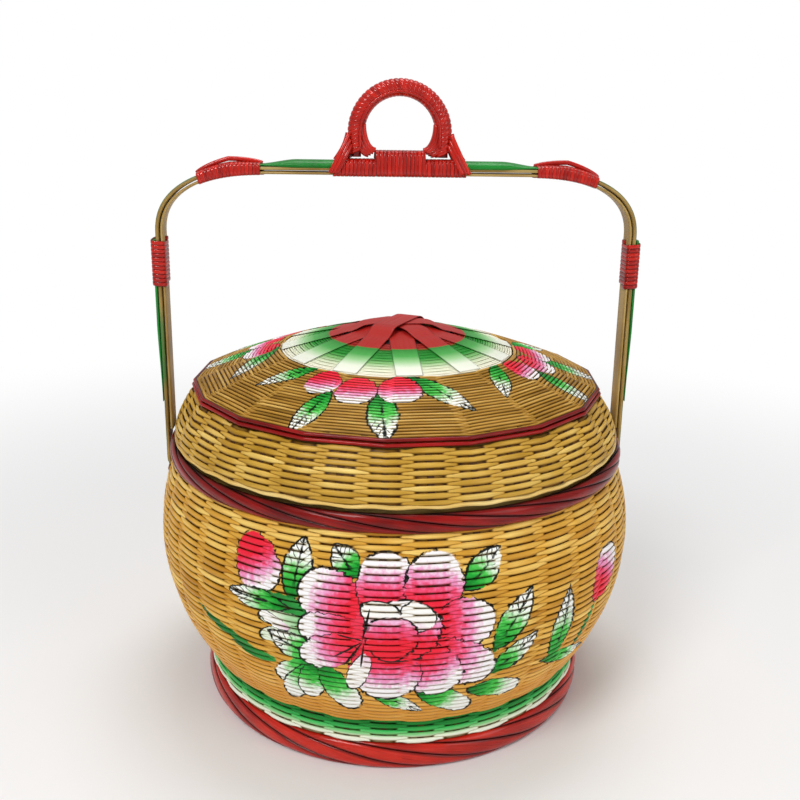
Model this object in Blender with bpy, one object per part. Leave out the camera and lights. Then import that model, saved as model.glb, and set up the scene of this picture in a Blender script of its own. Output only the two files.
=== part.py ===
# Round bamboo food basket with a lifting lid and a fixed bow handle.
# Metres, +Z up. The origin is at the middle of the foot, on the ground.
# The handle spans the X axis and the painted front faces -Y.

import math

import bmesh
import bpy
import numpy as np

# Fits and counts
fit_gap = 0.0003                # clear space between two pieces that touch
cut_overrun = 0.004             # how far a cutter runs past the wall it cuts
stakes_around = 36              # upright stakes, so each turned piece has this many sides
dome_panels = 18                # flat panels of the dome, which meet in creases
first_corner = math.pi / stakes_around      # first corner's turn from the X axis, on pieces of either count

# Foot ring
foot_height = 0.0330            # ground to the underside of the bowl
foot_plait_radius = 0.1288      # outermost bulge of the red border
foot_plait_depth = 0.0078       # border, measured inwards
foot_plait_height = 0.0168
foot_plait_flat_depth = 0.0050  # flat underside that stands on the ground
foot_skirt_setback = 0.0026     # border's bulge to the face of the woven skirt
foot_skirt_thickness = 0.0026
foot_hoop_thickness = 0.0018    # flat hoop inside the foot
foot_hoop_lift = 0.0040         # ground to the lower edge of that hoop
floor_slat_width = 0.0280
floor_slat_thickness = 0.0014
floor_thickness = 0.0030

# Bowl
bowl_overhang = 0.0026          # bowl's foot beyond the skirt
bowl_wall = 0.0035
bowl_flare = 0.0250             # widest radius less the radius at the foot
bowl_lower_height = 0.0780      # foot of the bowl to its widest line
bowl_upper_height = 0.0550      # widest line to the top edge
bowl_draw_in = 0.0127           # widest radius less the radius at the top edge
stake_swell = 0.0009            # how far the weave stands out over each stake

# Rim
rim_proud = 0.0059              # red border beyond the bowl's top edge
rim_skirt_depth = 0.0072        # border below the bowl's top edge
rim_cover = 0.0044              # border above the bowl's top edge
rim_edge_round = 0.0015
collar_thickness = 0.0018       # flat hoop inside the rim, which locates the lid
collar_rise = 0.0038
collar_depth = 0.0200

# Lid
lid_setback = 0.0038            # rim's bulge to the lid's lower edge
lid_edge_width = 0.0030
lid_edge_height = 0.0033
lid_edge_round = 0.0008
lid_side_wall = 0.0028
lid_side_height = 0.0265        # edge hoop to the shoulder
lid_side_draw_in = 0.0118       # lower edge's radius less the shoulder's radius
shoulder_strand_height = 0.0023
shoulder_strand_depth = 0.0036
shoulder_strand_round = 0.0006
shoulder_strand_step = 0.0009   # the upper strand lies this far inside the lower one
dome_wall = 0.0025
dome_rise = 0.0344              # shoulder to the crown
dome_inset = 0.0003             # the dome's edge inside the upper strand
lid_hoop_thickness = 0.0018     # flat hoop inside the shoulder
lid_hoop_height = 0.0105
crown_weave_outer = 0.0750      # where the splints pass under the dome's weave
crown_weave_inner = 0.0300
crown_weave_wall = 0.0016
splint_count = 6
splint_width = 0.0160
splint_thickness = 0.0005
splint_end_gap = 0.0012         # splint's end to the dome's weave
crown_flat_radius = 0.0200
crown_turn = math.radians(3)    # first splint's turn from the Y axis

# Handle
handle_width = 0.0140
outer_strip_thickness = 0.0026
inner_strip_thickness = 0.0018
strip_spacing = 0.0006          # air between the two long strips
strip_chamfer = 0.0009
arm_clearance = 0.0008          # rim's bulge to the arm
arm_lean_in = 0.0009            # arm's foot less its top, in X
handle_rise = 0.1647            # rim's top to the underside of the outer strip on the bar
corner_reach = 0.0669           # corner's size along X
corner_drop = 0.0394            # corner's size along Z
leg_wall_gap = 0.0009           # leg's back to the bowl's inside
leg_depth = 0.0850              # bowl's top edge to the end of the leg
slot_top_depth = 0.0150         # bowl's top edge to where the leg starts to turn in
slot_turn_height = 0.0140
bar_cap_thickness = 0.0036
bar_cap_tip_thickness = 0.0008
bar_cap_end_length = 0.0320     # corner's start to the cap's tip, along the handle
bar_cap_taper_length = 0.0560   # the cap's thinning end
arm_cap_thickness = 0.0023
arm_cap_tip_thickness = 0.0006
arm_cap_bottom_rise = 0.0190    # rim's top to the cap's lower tip
arm_cap_full_rise = 0.0700      # rim's top to where the cap is at its full thickness
arm_cap_top_rise = 0.1240

# Red windings
strand_width = 0.0021
strand_thickness = 0.0012
winding_chamfer = 0.0016
arm_winding_rise = 0.0945       # rim's top to the winding's lower end
arm_winding_length = 0.0280
arm_winding_turns = 11
shoulder_winding_gap = 0.0040   # corner's start to the winding, along the handle
shoulder_winding_length = 0.0380
shoulder_winding_turns = 14
shoulder_peak_height = 0.0042
saddle_winding_gap = 0.0006     # between the lashing and the saddle's windings
saddle_winding_length = 0.0245
saddle_winding_turns = 9
pad_length = 0.0300
pad_height = 0.0048
pad_width = 0.0100
lashing_turns = 11
plain_strand_radius = 0.0012

# Grip ring
ring_radius = 0.0265            # middle of the ring's core
ring_centre_rise = 0.0225      # handle's reference line to the ring's centre
ring_core_radius = 0.0030
ring_strand_width = 0.0034
ring_strand_thickness = 0.0018
ring_winding_turns = 23
flank_reach = 0.0130            # ring's middle line to the flank strand's foot
flank_rise = 0.0120

points_per_turn = 8
tube_resolution = 1
smooth_angle = math.radians(40)

straw_gold = (0.58, 0.36, 0.09)
straw_orange = (0.60, 0.33, 0.08)
straw_dark = (0.43, 0.24, 0.05)
rim_red = (0.30, 0.015, 0.015)
bright_red = (0.55, 0.02, 0.012)
leaf_green = (0.01, 0.21, 0.04)
pale_green = (0.30, 0.55, 0.25)
bamboo_beige = (0.42, 0.29, 0.11)
bamboo_olive = (0.36, 0.26, 0.09)
straw_roughness = 0.55
plait_roughness = 0.30
strip_roughness = 0.40

# Sizes worked out from those above
foot_skirt_radius = foot_plait_radius - foot_skirt_setback
foot_hoop_radius = foot_plait_radius - foot_plait_depth - fit_gap
upper_slat_top = foot_height - fit_gap
lower_slat_top = upper_slat_top - floor_slat_thickness - fit_gap
foot_hoop_top = lower_slat_top - floor_slat_thickness - fit_gap
bowl_base_radius = foot_skirt_radius + bowl_overhang
bowl_widest_radius = bowl_base_radius + bowl_flare
bowl_widest_z = foot_height + bowl_lower_height
bowl_top_z = bowl_widest_z + bowl_upper_height
bowl_top_radius = bowl_widest_radius - bowl_draw_in
rim_radius = bowl_top_radius + rim_proud
rim_low_z = bowl_top_z - rim_skirt_depth
rim_top_z = bowl_top_z + rim_cover + fit_gap
collar_radius = bowl_top_radius - bowl_wall - fit_gap
lid_radius = rim_radius - lid_setback
lid_base_z = rim_top_z + fit_gap
side_low = lid_edge_height + fit_gap
side_high = side_low + lid_side_height
shoulder_radius = lid_radius - lid_side_draw_in
lower_strand_low = side_high + fit_gap
upper_strand_low = lower_strand_low + shoulder_strand_height + fit_gap
shoulder_high = upper_strand_low + shoulder_strand_height
upper_strand_radius = shoulder_radius - shoulder_strand_step
dome_radius = upper_strand_radius - shoulder_strand_depth - dome_inset
panel_share = math.cos(math.pi / dome_panels)       # middle of a panel, as a share of its corners' radius
lid_hoop_radius = (upper_strand_radius - shoulder_strand_depth) * panel_share - fit_gap
lid_hoop_high = shoulder_high - dome_wall - fit_gap
arm_foot_x = rim_radius + arm_clearance
arm_top_x = arm_foot_x - arm_lean_in
corner_x = arm_top_x - corner_reach
shoulder_winding_start = corner_x + shoulder_winding_gap
bar_cap_reach = corner_x + bar_cap_end_length
bar_cap_full_reach = bar_cap_reach - bar_cap_taper_length
bar_z = rim_top_z + handle_rise
corner_z = bar_z - corner_drop
strips_low = -strip_spacing - inner_strip_thickness
slot_top_z = bowl_top_z - slot_top_depth
slot_bottom_z = slot_top_z - slot_turn_height
leg_end_z = bowl_top_z - leg_depth
cap_low = outer_strip_thickness + fit_gap
bar_cap_high = cap_low + bar_cap_thickness
arm_cap_high = cap_low + arm_cap_thickness
winding_offset = fit_gap + strand_thickness / 2
saddle_winding_start = pad_length / 2 + saddle_winding_gap + strand_width / 2
pad_low = bar_cap_high + fit_gap
pad_high = pad_low + pad_height
ring_centre_z = bar_z + ring_centre_rise
ring_foot_z = bar_z + bar_cap_high + 2 * fit_gap + strand_thickness
ring_leg_length = ring_centre_z - ring_foot_z
ring_arch_length = math.pi * ring_radius
chord_share = math.cos(math.pi / points_per_turn)
ring_coil_radius = (ring_core_radius + fit_gap + ring_strand_thickness / 2) / chord_share

# Shares: heights and places as parts of the sizes named beside them
foot_plait_outline_shares = (   # inwards from the bulge as shares of the depth, up as shares of the height
    (0.28, 0.0), (0.0, 0.30), (0.04, 0.66), (0.22, 1.0), (0.86, 1.0), (1.0, 0.90), (1.0, 0.06),
)
dome_exponent = 1.5
side_exponent = 1.5
corner_exponent = 2.4
splint_rise_start_shares = (1.05, 1.25)     # even and odd splints, of the radius where next but one splints part
splint_rise_length_share = 0.7              # of the way between the two radii where splints part
splint_cross_start_share = 1.05             # of the radius where neighbouring splints part
splint_cross_length_share = 0.4
cap_section_shares = ((-0.5, 0.0), (-0.5, 0.15), (-0.3, 0.72), (0.0, 1.0), (0.3, 0.72), (0.5, 0.15), (0.5, 0.0))


def clear_scene():
    for obj in list(bpy.data.objects):
        bpy.data.objects.remove(obj, do_unlink=True)


def frame_empty(name, z):
    empty = bpy.data.objects.new(name, None)
    empty.location = (0, 0, z)
    bpy.context.scene.collection.objects.link(empty)
    return empty


def paint(obj, colour, roughness):
    material = bpy.data.materials.new(obj.name + "_finish")
    material.use_nodes = True
    shader = material.node_tree.nodes["Principled BSDF"]
    shader.inputs["Base Color"].default_value = (*colour, 1.0)
    shader.inputs["Roughness"].default_value = roughness
    shader.inputs["Metallic"].default_value = 0.0
    material.diffuse_color = (*colour, 1.0)
    obj.data.materials.append(material)


def solid(name, mesh_data, parent, colour, roughness):
    """Turns a closed bmesh into a named object with its own finish."""
    bmesh.ops.recalc_face_normals(mesh_data, faces=mesh_data.faces)
    mesh = bpy.data.meshes.new(name)
    mesh_data.to_mesh(mesh)
    mesh_data.free()
    mesh.shade_smooth()
    mesh.set_sharp_from_angle(angle=smooth_angle)
    obj = bpy.data.objects.new(name, mesh)
    obj.parent = parent
    bpy.context.scene.collection.objects.link(obj)
    paint(obj, colour, roughness)
    return obj


def turned(name, outline, parent, colour, roughness, sides=stakes_around, dips=None):
    """Turns a closed outline of (radius, height) points round the Z axis, with as many corners as sides.
    With dips, one for each point, the middle of every side has a station too, drawn in by the dips."""
    stations = 2 * sides if dips else sides
    data = bmesh.new()
    rings = []
    for k in range(stations):
        angle = first_corner + 2 * math.pi * k / stations
        drawn_in = [dip * (k % 2) for dip in dips or [0] * len(outline)]
        rings.append([
            data.verts.new(((radius - dip) * math.cos(angle), (radius - dip) * math.sin(angle), z))
            for (radius, z), dip in zip(outline, drawn_in)
        ])
    for k in range(stations):
        near, far = rings[k - 1], rings[k]
        for i in range(len(outline)):
            data.faces.new((near[i - 1], near[i], far[i], far[i - 1]))
    return solid(name, data, parent, colour, roughness)


def lofted(sections):
    """A closed bmesh through a row of sections, each a list of as many points."""
    data = bmesh.new()
    rings = [[data.verts.new(point) for point in section] for section in sections]
    sides = len(rings[0])
    for first, second in zip(rings, rings[1:]):
        for k in range(sides):
            data.faces.new((first[k - 1], first[k], second[k], second[k - 1]))
    data.faces.new(rings[0][::-1])
    data.faces.new(rings[-1])
    bmesh.ops.triangulate(data, faces=data.faces)
    return data


def tube(name, points, radius, parent, colour):
    """A round strand along the points."""
    curve = bpy.data.curves.new(name, "CURVE")
    curve.dimensions = "3D"
    curve.bevel_depth = radius
    curve.bevel_resolution = tube_resolution
    curve.use_fill_caps = True
    spline = curve.splines.new("POLY")
    spline.points.add(len(points) - 1)
    for spot, point in zip(spline.points, points):
        spot.co = (*point, 1.0)
    obj = bpy.data.objects.new(name, curve)
    obj.parent = parent
    bpy.context.scene.collection.objects.link(obj)
    paint(obj, colour, plait_roughness)
    return obj


# Shape of the bowl, lid and handle as functions

def bowl_radius(z):
    """Outer radius of the bowl: one parabola below its widest line and one above."""
    if z < bowl_widest_z:
        return bowl_widest_radius - bowl_flare * ((bowl_widest_z - z) / bowl_lower_height) ** 2
    return bowl_widest_radius - bowl_draw_in * ((z - bowl_widest_z) / bowl_upper_height) ** 2


def lid_side_radius(z):
    """Outer radius of the lid's side at a height above its lower edge."""
    share = max(z - side_low, 0) / (side_high - side_low)
    return lid_radius - lid_side_draw_in * share ** side_exponent


def dome_height(radius):
    """Top of the dome's weave at a radius, above the lid's lower edge."""
    return shoulder_high + dome_rise * (1 - (radius / upper_strand_radius) ** dome_exponent)


def smooth_step(share):
    share = min(max(share, 0), 1)
    return share * share * (3 - 2 * share)


def leg_x(z):
    """Inner face of the leg: outside the rim, then through the wall, then along the bowl's inside."""
    inside = bowl_radius(z) - bowl_wall - leg_wall_gap - outer_strip_thickness
    return inside + (arm_foot_x - inside) * smooth_step((z - slot_bottom_z) / slot_turn_height)


def handle_line():
    """Half of the handle's reference line, from the middle of the bar to the end of the leg."""
    bar = [(0, bar_z), (corner_x / 2, bar_z)]
    quarter = np.linspace(math.pi / 2, 0, 13)
    power = 2 / corner_exponent
    corner = [
        (corner_x + corner_reach * max(math.cos(a), 0) ** power, corner_z + corner_drop * math.sin(a) ** power)
        for a in quarter
    ]
    arm = [(arm_top_x + (arm_foot_x - arm_top_x) * k, corner_z + (rim_top_z - corner_z) * k) for k in (0.5, 1)]
    leg = [(leg_x(z), z) for z in np.linspace(slot_top_z, leg_end_z, 13)]
    return np.array(bar + corner + arm + leg)


handle_points = handle_line()
handle_steps = np.hypot(*np.diff(handle_points, axis=0).T)
handle_travel = np.concatenate([[0], np.cumsum(handle_steps)])
handle_slopes = np.gradient(handle_points, handle_travel, axis=0)


def handle_frame(travel, side):
    """Point on the reference line and its outward normal, for side 1 at +X or -1 at -X."""
    x, z = (np.interp(travel, handle_travel, handle_points[:, k]) for k in (0, 1))
    slope_x, slope_z = (np.interp(travel, handle_travel, handle_slopes[:, k]) for k in (0, 1))
    length = math.hypot(slope_x, slope_z)
    return np.array([side * x, 0, z]), np.array([-side * slope_z / length, 0, slope_x / length])


def travel_at_height(z):
    """Distance along the handle to a height on its arm."""
    falling = handle_points[:, 1] < bar_z
    return float(np.interp(-z, -handle_points[falling, 1], handle_travel[falling]))


def across_handle(travel, side, section):
    point, normal = handle_frame(travel, side)
    across = np.array([0, 1, 0])
    return [point + along * normal + y * across for y, along in section]


def strip(name, stations, parent, colour):
    """A strip through (travel, side, section) stations of the handle."""
    data = lofted([across_handle(*station) for station in stations])
    return solid(name, data, parent, colour, strip_roughness)


def both_sides(travels, section_at):
    """Stations from the left end, over the bar, to the right end."""
    left = [(t, -1, section_at(t)) for t in reversed(travels) if t > 0]
    return left + [(t, 1, section_at(t)) for t in travels]


def flat_section(low, high, grow=0.0):
    half = handle_width / 2 + grow
    return [(-half, low - grow), (-half, high + grow), (half, high + grow), (half, low - grow)]


def outer_section(_travel):
    """Flat inside, its outer corners shaved."""
    half = handle_width / 2
    top = outer_strip_thickness
    cut = strip_chamfer
    return [(-half, 0), (-half, top - cut), (cut - half, top), (half - cut, top), (half, top - cut), (half, 0)]


def inner_section(_travel):
    """Flat outside, its inner corners shaved."""
    half = handle_width / 2
    low = strips_low
    cut = strip_chamfer
    return [(-half, low + cut), (-half, -strip_spacing), (half, -strip_spacing), (half, low + cut),
            (half - cut, low), (cut - half, low)]


def cap_section(thickness):
    """The rounded bark side of a split cane."""
    return [(y * handle_width, cap_low + along * thickness) for y, along in cap_section_shares]


def winding_loop(low, high, half_width):
    """Eight corners of a strand round a bundle, as (y, outwards) places and their outward directions."""
    top = high + winding_offset
    bottom = low - winding_offset
    side = half_width + winding_offset
    cut = winding_chamfer
    places = [(side, bottom + cut), (side, top - cut), (side - cut, top), (cut - side, top),
              (-side, top - cut), (-side, bottom + cut), (cut - side, bottom), (side - cut, bottom)]
    angles = [math.pi * (2 * k - 1) / points_per_turn for k in range(points_per_turn)]
    outwards = [(math.cos(angle), math.sin(angle)) for angle in angles]
    return places, outwards


def strand_solid(name, centres, outwards, width, thickness, parent):
    """One unbroken flat strand along the centres. It prints the least gap between its turns."""
    centres = np.array(centres)
    outwards = np.array(outwards)
    tangents = np.gradient(centres, axis=0)
    tangents /= np.linalg.norm(tangents, axis=1)[:, None]
    sideways = np.cross(tangents, outwards)
    sideways /= np.linalg.norm(sideways, axis=1)[:, None]
    lifts = np.cross(sideways, tangents)
    corners = ((-1, -1), (-1, 1), (1, 1), (1, -1))
    sections = [
        [c + a * width / 2 * s + b * thickness / 2 * u for a, b in corners]
        for c, s, u in zip(centres, sideways, lifts)
    ]
    apart = np.linalg.norm(centres[:, None] - centres[None], axis=2)
    steps = np.abs(np.subtract.outer(np.arange(len(centres)), np.arange(len(centres))))
    least = apart[steps >= points_per_turn - 1].min() - width
    print(f"{name}: least gap between turns {least * 1000:.2f} mm")
    return solid(name, lofted(sections), parent, bright_red, plait_roughness)


def handle_winding(name, side, start, length, turns, low, high, half_width, parent):
    """A strand wound round the handle's bundle from start, measured along the handle."""
    places, directions = winding_loop(low, high, half_width)
    across = np.array([0, 1, 0])
    centres = []
    outwards = []
    for i in range(points_per_turn * turns + 1):
        travel = start + length * i / (points_per_turn * turns)
        point, normal = handle_frame(abs(travel), side if travel >= 0 else -side)
        y, along = places[i % points_per_turn]
        out_y, out_along = directions[i % points_per_turn]
        centres.append(point + along * normal + y * across)
        outwards.append(out_along * normal + out_y * across)
    return strand_solid(name, centres, outwards, strand_width, strand_thickness, parent)


# Foot and bowl

def make_foot(basket):
    plait = [
        (foot_plait_radius - inwards * foot_plait_depth, up * foot_plait_height)
        for inwards, up in foot_plait_outline_shares
    ]
    flat_outer = plait[0][0]
    plait.append((flat_outer - foot_plait_flat_depth, 0))
    turned("foot_plait", plait, basket, rim_red, plait_roughness)
    low = foot_plait_height + fit_gap
    high = foot_height - fit_gap
    inner = foot_skirt_radius - foot_skirt_thickness
    skirt = [(foot_skirt_radius, low), (foot_skirt_radius, high), (inner, high), (inner, low)]
    turned("foot_skirt", skirt, basket, pale_green, straw_roughness)
    inner = foot_hoop_radius - foot_hoop_thickness
    hoop = [(foot_hoop_radius, foot_hoop_lift), (foot_hoop_radius, foot_hoop_top), (inner, foot_hoop_top),
            (inner, foot_hoop_lift)]
    turned("foot_inner_hoop", hoop, basket, bamboo_beige, strip_roughness)


def make_slat(name, top, along_x, basket):
    """A flat slat under the floor, its ends over the foot's inner hoop."""
    half = floor_slat_width / 2
    ends = math.sqrt(foot_hoop_radius ** 2 - half ** 2)
    low = top - floor_slat_thickness
    sections = []
    for end in (-ends, ends):
        corners = [(-half, low), (-half, top), (half, top), (half, low)]
        sections.append([(end, y, z) if along_x else (y, end, z) for y, z in corners])
    solid(name, lofted(sections), basket, bamboo_olive, strip_roughness)


def make_floor(basket):
    radius = bowl_base_radius - bowl_wall - fit_gap
    data = bmesh.new()
    bmesh.ops.create_cone(
        data, cap_ends=True, segments=stakes_around, radius1=radius, radius2=radius, depth=floor_thickness,
    )
    bmesh.ops.translate(data, verts=data.verts, vec=(0, 0, foot_height + fit_gap + floor_thickness / 2))
    solid("bowl_floor", data, basket, straw_gold, straw_roughness)


def leg_cutter(side):
    """A slot through the bowl's wall for the leg."""
    start = travel_at_height(slot_top_z + cut_overrun)
    end = travel_at_height(slot_bottom_z - cut_overrun)
    section = flat_section(0, outer_strip_thickness, grow=fit_gap)
    data = lofted([across_handle(t, side, section) for t in np.linspace(start, end, 9)])
    cutter = solid("leg_slot_cutter", data, None, straw_dark, straw_roughness)
    cutter.hide_render = True
    cutter.display_type = "WIRE"
    return cutter


def make_bowl(basket):
    lower = np.linspace(foot_height, bowl_widest_z, 7)
    upper = np.linspace(bowl_widest_z, bowl_top_z, 6)[1:]
    heights = [*lower, *upper]
    outline = [(bowl_radius(z), z) for z in heights]
    outline += [(bowl_radius(z) - bowl_wall, z) for z in reversed(heights)]
    dips = [stake_swell] * len(heights) + [0] * len(heights)
    bowl = turned("bowl_wall", outline, basket, straw_orange, straw_roughness, dips=dips)
    for side in (-1, 1):
        slot = bowl.modifiers.new("leg_slot", "BOOLEAN")
        slot.operation = "DIFFERENCE"
        slot.solver = "EXACT"
        slot.object = leg_cutter(side)


def make_rim(basket):
    bulge = rim_radius
    inside = collar_radius + fit_gap
    top = rim_top_z
    cut = rim_edge_round
    wall_low = bowl_radius(rim_low_z) + fit_gap
    wall_top = bowl_top_radius + fit_gap
    seat = bowl_top_z + fit_gap
    outline = [
        (wall_low + cut, rim_low_z), (bulge, rim_low_z + cut), (bulge, top - cut), (bulge - cut, top),
        (inside + cut, top), (inside, top - cut), (inside, seat),
        (wall_top, seat), (wall_top, bowl_top_z), (wall_low, rim_low_z),
    ]
    turned("rim_plait", outline, basket, rim_red, plait_roughness)
    low = bowl_top_z - collar_depth
    high = rim_top_z + collar_rise
    inner = collar_radius - collar_thickness
    collar = [(collar_radius, low), (collar_radius, high), (inner, high), (inner, low)]
    turned("rim_inner_hoop", collar, basket, bamboo_beige, strip_roughness)


# Lid, in its own frame: height zero is its lower edge

def make_lid_side(lid):
    inner = lid_radius - lid_edge_width
    cut = lid_edge_round
    edge = [
        (lid_radius - cut, 0), (lid_radius, cut), (lid_radius, lid_edge_height - cut),
        (lid_radius - cut, lid_edge_height), (inner, lid_edge_height), (inner, 0),
    ]
    turned("lid_edge_hoop", edge, lid, straw_gold, straw_roughness)
    heights = np.linspace(side_low, side_high, 6)
    outline = [(lid_side_radius(z), z) for z in heights]
    outline += [(lid_side_radius(z) - lid_side_wall, z) for z in reversed(heights)]
    dips = [radius * (1 - panel_share) * smooth_step((z - side_low) / lid_side_height) for radius, z in outline]
    turned("lid_side_weave", outline, lid, straw_gold, straw_roughness, sides=dome_panels, dips=dips)


def make_shoulder(lid):
    for name, radius, low in (
        ("lid_shoulder_strand_lower", shoulder_radius, lower_strand_low),
        ("lid_shoulder_strand_upper", upper_strand_radius, upper_strand_low),
    ):
        high = low + shoulder_strand_height
        middle = (low + high) / 2
        inner = radius - shoulder_strand_depth
        outer = radius - shoulder_strand_round
        outline = [(outer, low), (radius, middle), (outer, high), (inner, high), (inner, low)]
        turned(name, outline, lid, rim_red, plait_roughness, sides=dome_panels)
    inner = lid_hoop_radius - lid_hoop_thickness
    low = lid_hoop_high - lid_hoop_height
    hoop = [(lid_hoop_radius, low), (lid_hoop_radius, lid_hoop_high), (inner, lid_hoop_high), (inner, low)]
    turned("lid_inner_hoop", hoop, lid, bamboo_beige, strip_roughness)


def make_dome(lid):
    radii = np.linspace(dome_radius, crown_weave_outer, 5)
    outline = [(r, dome_height(r)) for r in radii]
    outline += [(r, dome_height(r) - dome_wall) for r in reversed(radii)]
    turned("dome_weave", outline, lid, straw_dark, straw_roughness, sides=dome_panels)
    drop = splint_thickness + fit_gap
    radii = np.linspace(crown_weave_outer - fit_gap, crown_weave_inner, 4)
    outline = [(r, dome_height(r) - drop) for r in radii]
    outline += [(r, dome_height(r) - drop - crown_weave_wall) for r in reversed(radii)]
    turned("crown_weave", outline, lid, pale_green, straw_roughness, sides=dome_panels)


def splint_lift(distance, index):
    """How far a splint lies above the dome: odd ones cross over even ones, and near the middle all are stacked."""
    odd = index % 2
    rank = index // 2
    beside = splint_width / (2 * math.sin(math.pi / splint_count / 2))
    beyond = splint_width / (2 * math.sin(math.pi / splint_count))
    start = beyond * splint_rise_start_shares[odd]
    stacked = 1 - smooth_step((distance - start) / (beside - beyond) / splint_rise_length_share)
    start = beside * splint_cross_start_share
    crossing = 1 - smooth_step((distance - start) / beside / splint_cross_length_share)
    layer = splint_thickness + fit_gap
    return layer * (odd * crossing + (rank + 2 * odd) * stacked)


def make_splints(lid):
    reach = crown_weave_outer * panel_share - splint_end_gap
    half = splint_width / 2
    for index in range(splint_count):
        angle = math.pi * index / splint_count + math.pi / 2 + crown_turn
        along = np.array([math.cos(angle), math.sin(angle), 0])
        across = np.array([-math.sin(angle), math.cos(angle), 0])
        up = np.array([0, 0, 1])
        sections = []
        for distance in np.linspace(-reach, reach, 19):
            top = dome_height(max(abs(distance), crown_flat_radius)) + splint_lift(abs(distance), index)
            corners = ((-half, top - splint_thickness), (-half, top), (half, top), (half, top - splint_thickness))
            sections.append([distance * along + y * across + z * up for y, z in corners])
        solid(f"crown_splint_{index + 1}", lofted(sections), lid, bright_red, strip_roughness)


# Handle

def make_strips(basket):
    strip("handle_outer_strip", both_sides(list(handle_travel), outer_section), basket, bamboo_olive)
    foot = travel_at_height(rim_top_z + fit_gap)
    inner = [t for t in handle_travel if t < foot] + [foot]
    strip("handle_inner_strip", both_sides(inner, inner_section), basket, bamboo_beige)


def bar_cap_at(travel):
    share = smooth_step((travel - bar_cap_full_reach) / (bar_cap_reach - bar_cap_full_reach))
    return cap_section(bar_cap_thickness + (bar_cap_tip_thickness - bar_cap_thickness) * share)


def make_caps(basket):
    travels = [0, *np.linspace(bar_cap_full_reach, bar_cap_reach, 8)]
    strip("bar_cap_strip", both_sides(travels, bar_cap_at), basket, leaf_green)
    tip = travel_at_height(rim_top_z + arm_cap_bottom_rise)
    full = travel_at_height(rim_top_z + arm_cap_full_rise)
    top = travel_at_height(rim_top_z + arm_cap_top_rise)
    for name, side in (("left_arm_cap_strip", -1), ("right_arm_cap_strip", 1)):
        stations = []
        for travel in np.linspace(top, tip, 10):
            share = smooth_step((travel - full) / (tip - full))
            thickness = arm_cap_thickness + (arm_cap_tip_thickness - arm_cap_thickness) * share
            stations.append((travel, side, cap_section(thickness)))
        strip(name, stations, basket, leaf_green)


def make_windings(basket):
    half = handle_width / 2
    arm_start = travel_at_height(rim_top_z + arm_winding_rise + arm_winding_length)
    for side, word in ((-1, "left"), (1, "right")):
        handle_winding(f"{word}_arm_winding", side, arm_start, arm_winding_length, arm_winding_turns,
                       strips_low, arm_cap_high, half, basket)
        handle_winding(f"{word}_shoulder_winding", side, shoulder_winding_start, shoulder_winding_length,
                       shoulder_winding_turns, strips_low, shoulder_bundle_high(), half, basket)
        handle_winding(f"{word}_saddle_winding", side, saddle_winding_start, saddle_winding_length,
                       saddle_winding_turns, strips_low, bar_cap_high, half, basket)
        make_shoulder_strand(f"{word}_shoulder_strand", side, basket)
    lashing_length = pad_length - strand_width
    handle_winding("ring_lashing", 1, -lashing_length / 2, lashing_length, lashing_turns, strips_low, pad_high,
                   half, basket)


def shoulder_bundle_high():
    """Top of the bundle where the shoulder's winding starts, over the thinning cap."""
    return max(along for _, along in bar_cap_at(shoulder_winding_start))


def make_shoulder_strand(name, side, basket):
    """A strand that rises to a peak over the shoulder's winding."""
    low = shoulder_bundle_high() + winding_offset + strand_thickness / 2 + fit_gap + plain_strand_radius
    points = []
    for share in (0.0, 0.25, 0.5, 0.75, 1.0):
        travel = shoulder_winding_start + shoulder_winding_length * share
        point, normal = handle_frame(travel, side)
        lift = shoulder_peak_height * (1 - abs(2 * share - 1))
        points.append(point + normal * (low + lift))
    tube(name, points, plain_strand_radius, basket, rim_red)


def make_pad(basket):
    """A short block on the bar between the ring's legs, inside the lashing."""
    half = pad_width / 2
    low = bar_z + pad_low
    high = bar_z + pad_high
    cut = strip_chamfer
    corners = [(-half, low), (-half, high - cut), (cut - half, high), (half - cut, high), (half, high - cut),
               (half, low)]
    sections = [[(end, y, z) for y, z in corners] for end in (-pad_length / 2, pad_length / 2)]
    solid("ring_pad", lofted(sections), basket, bamboo_beige, strip_roughness)


# Grip ring

def ring_frame(travel):
    """Point on the ring's middle line and its outward normal, from the left foot over to the right foot."""
    if travel < ring_leg_length:
        return np.array([-ring_radius, 0, ring_foot_z + travel]), np.array([-1, 0, 0])
    over = travel - ring_leg_length - ring_arch_length
    if over > 0:
        return np.array([ring_radius, 0, ring_centre_z - over]), np.array([1, 0, 0])
    angle = math.pi - (travel - ring_leg_length) / ring_radius
    normal = np.array([math.cos(angle), 0, math.sin(angle)])
    return np.array([0, 0, ring_centre_z]) + ring_radius * normal, normal


def make_ring(basket):
    length = 2 * ring_leg_length + ring_arch_length
    travels = [0, *np.linspace(ring_leg_length, ring_leg_length + ring_arch_length, 19), length]
    tube("grip_ring_core", [ring_frame(t)[0] for t in travels], ring_core_radius, basket, bamboo_beige)
    margin = ring_strand_width / 2 + fit_gap
    across = np.array([0, 1, 0])
    centres = []
    outwards = []
    for i in range(points_per_turn * ring_winding_turns + 1):
        share = i / (points_per_turn * ring_winding_turns)
        point, normal = ring_frame(margin + (length - 2 * margin) * share)
        angle = 2 * math.pi * i / points_per_turn
        outward = math.cos(angle) * normal + math.sin(angle) * across
        centres.append(point + ring_coil_radius * outward)
        outwards.append(outward)
    strand_solid("grip_ring_winding", centres, outwards, ring_strand_width, ring_strand_thickness, basket)


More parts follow.
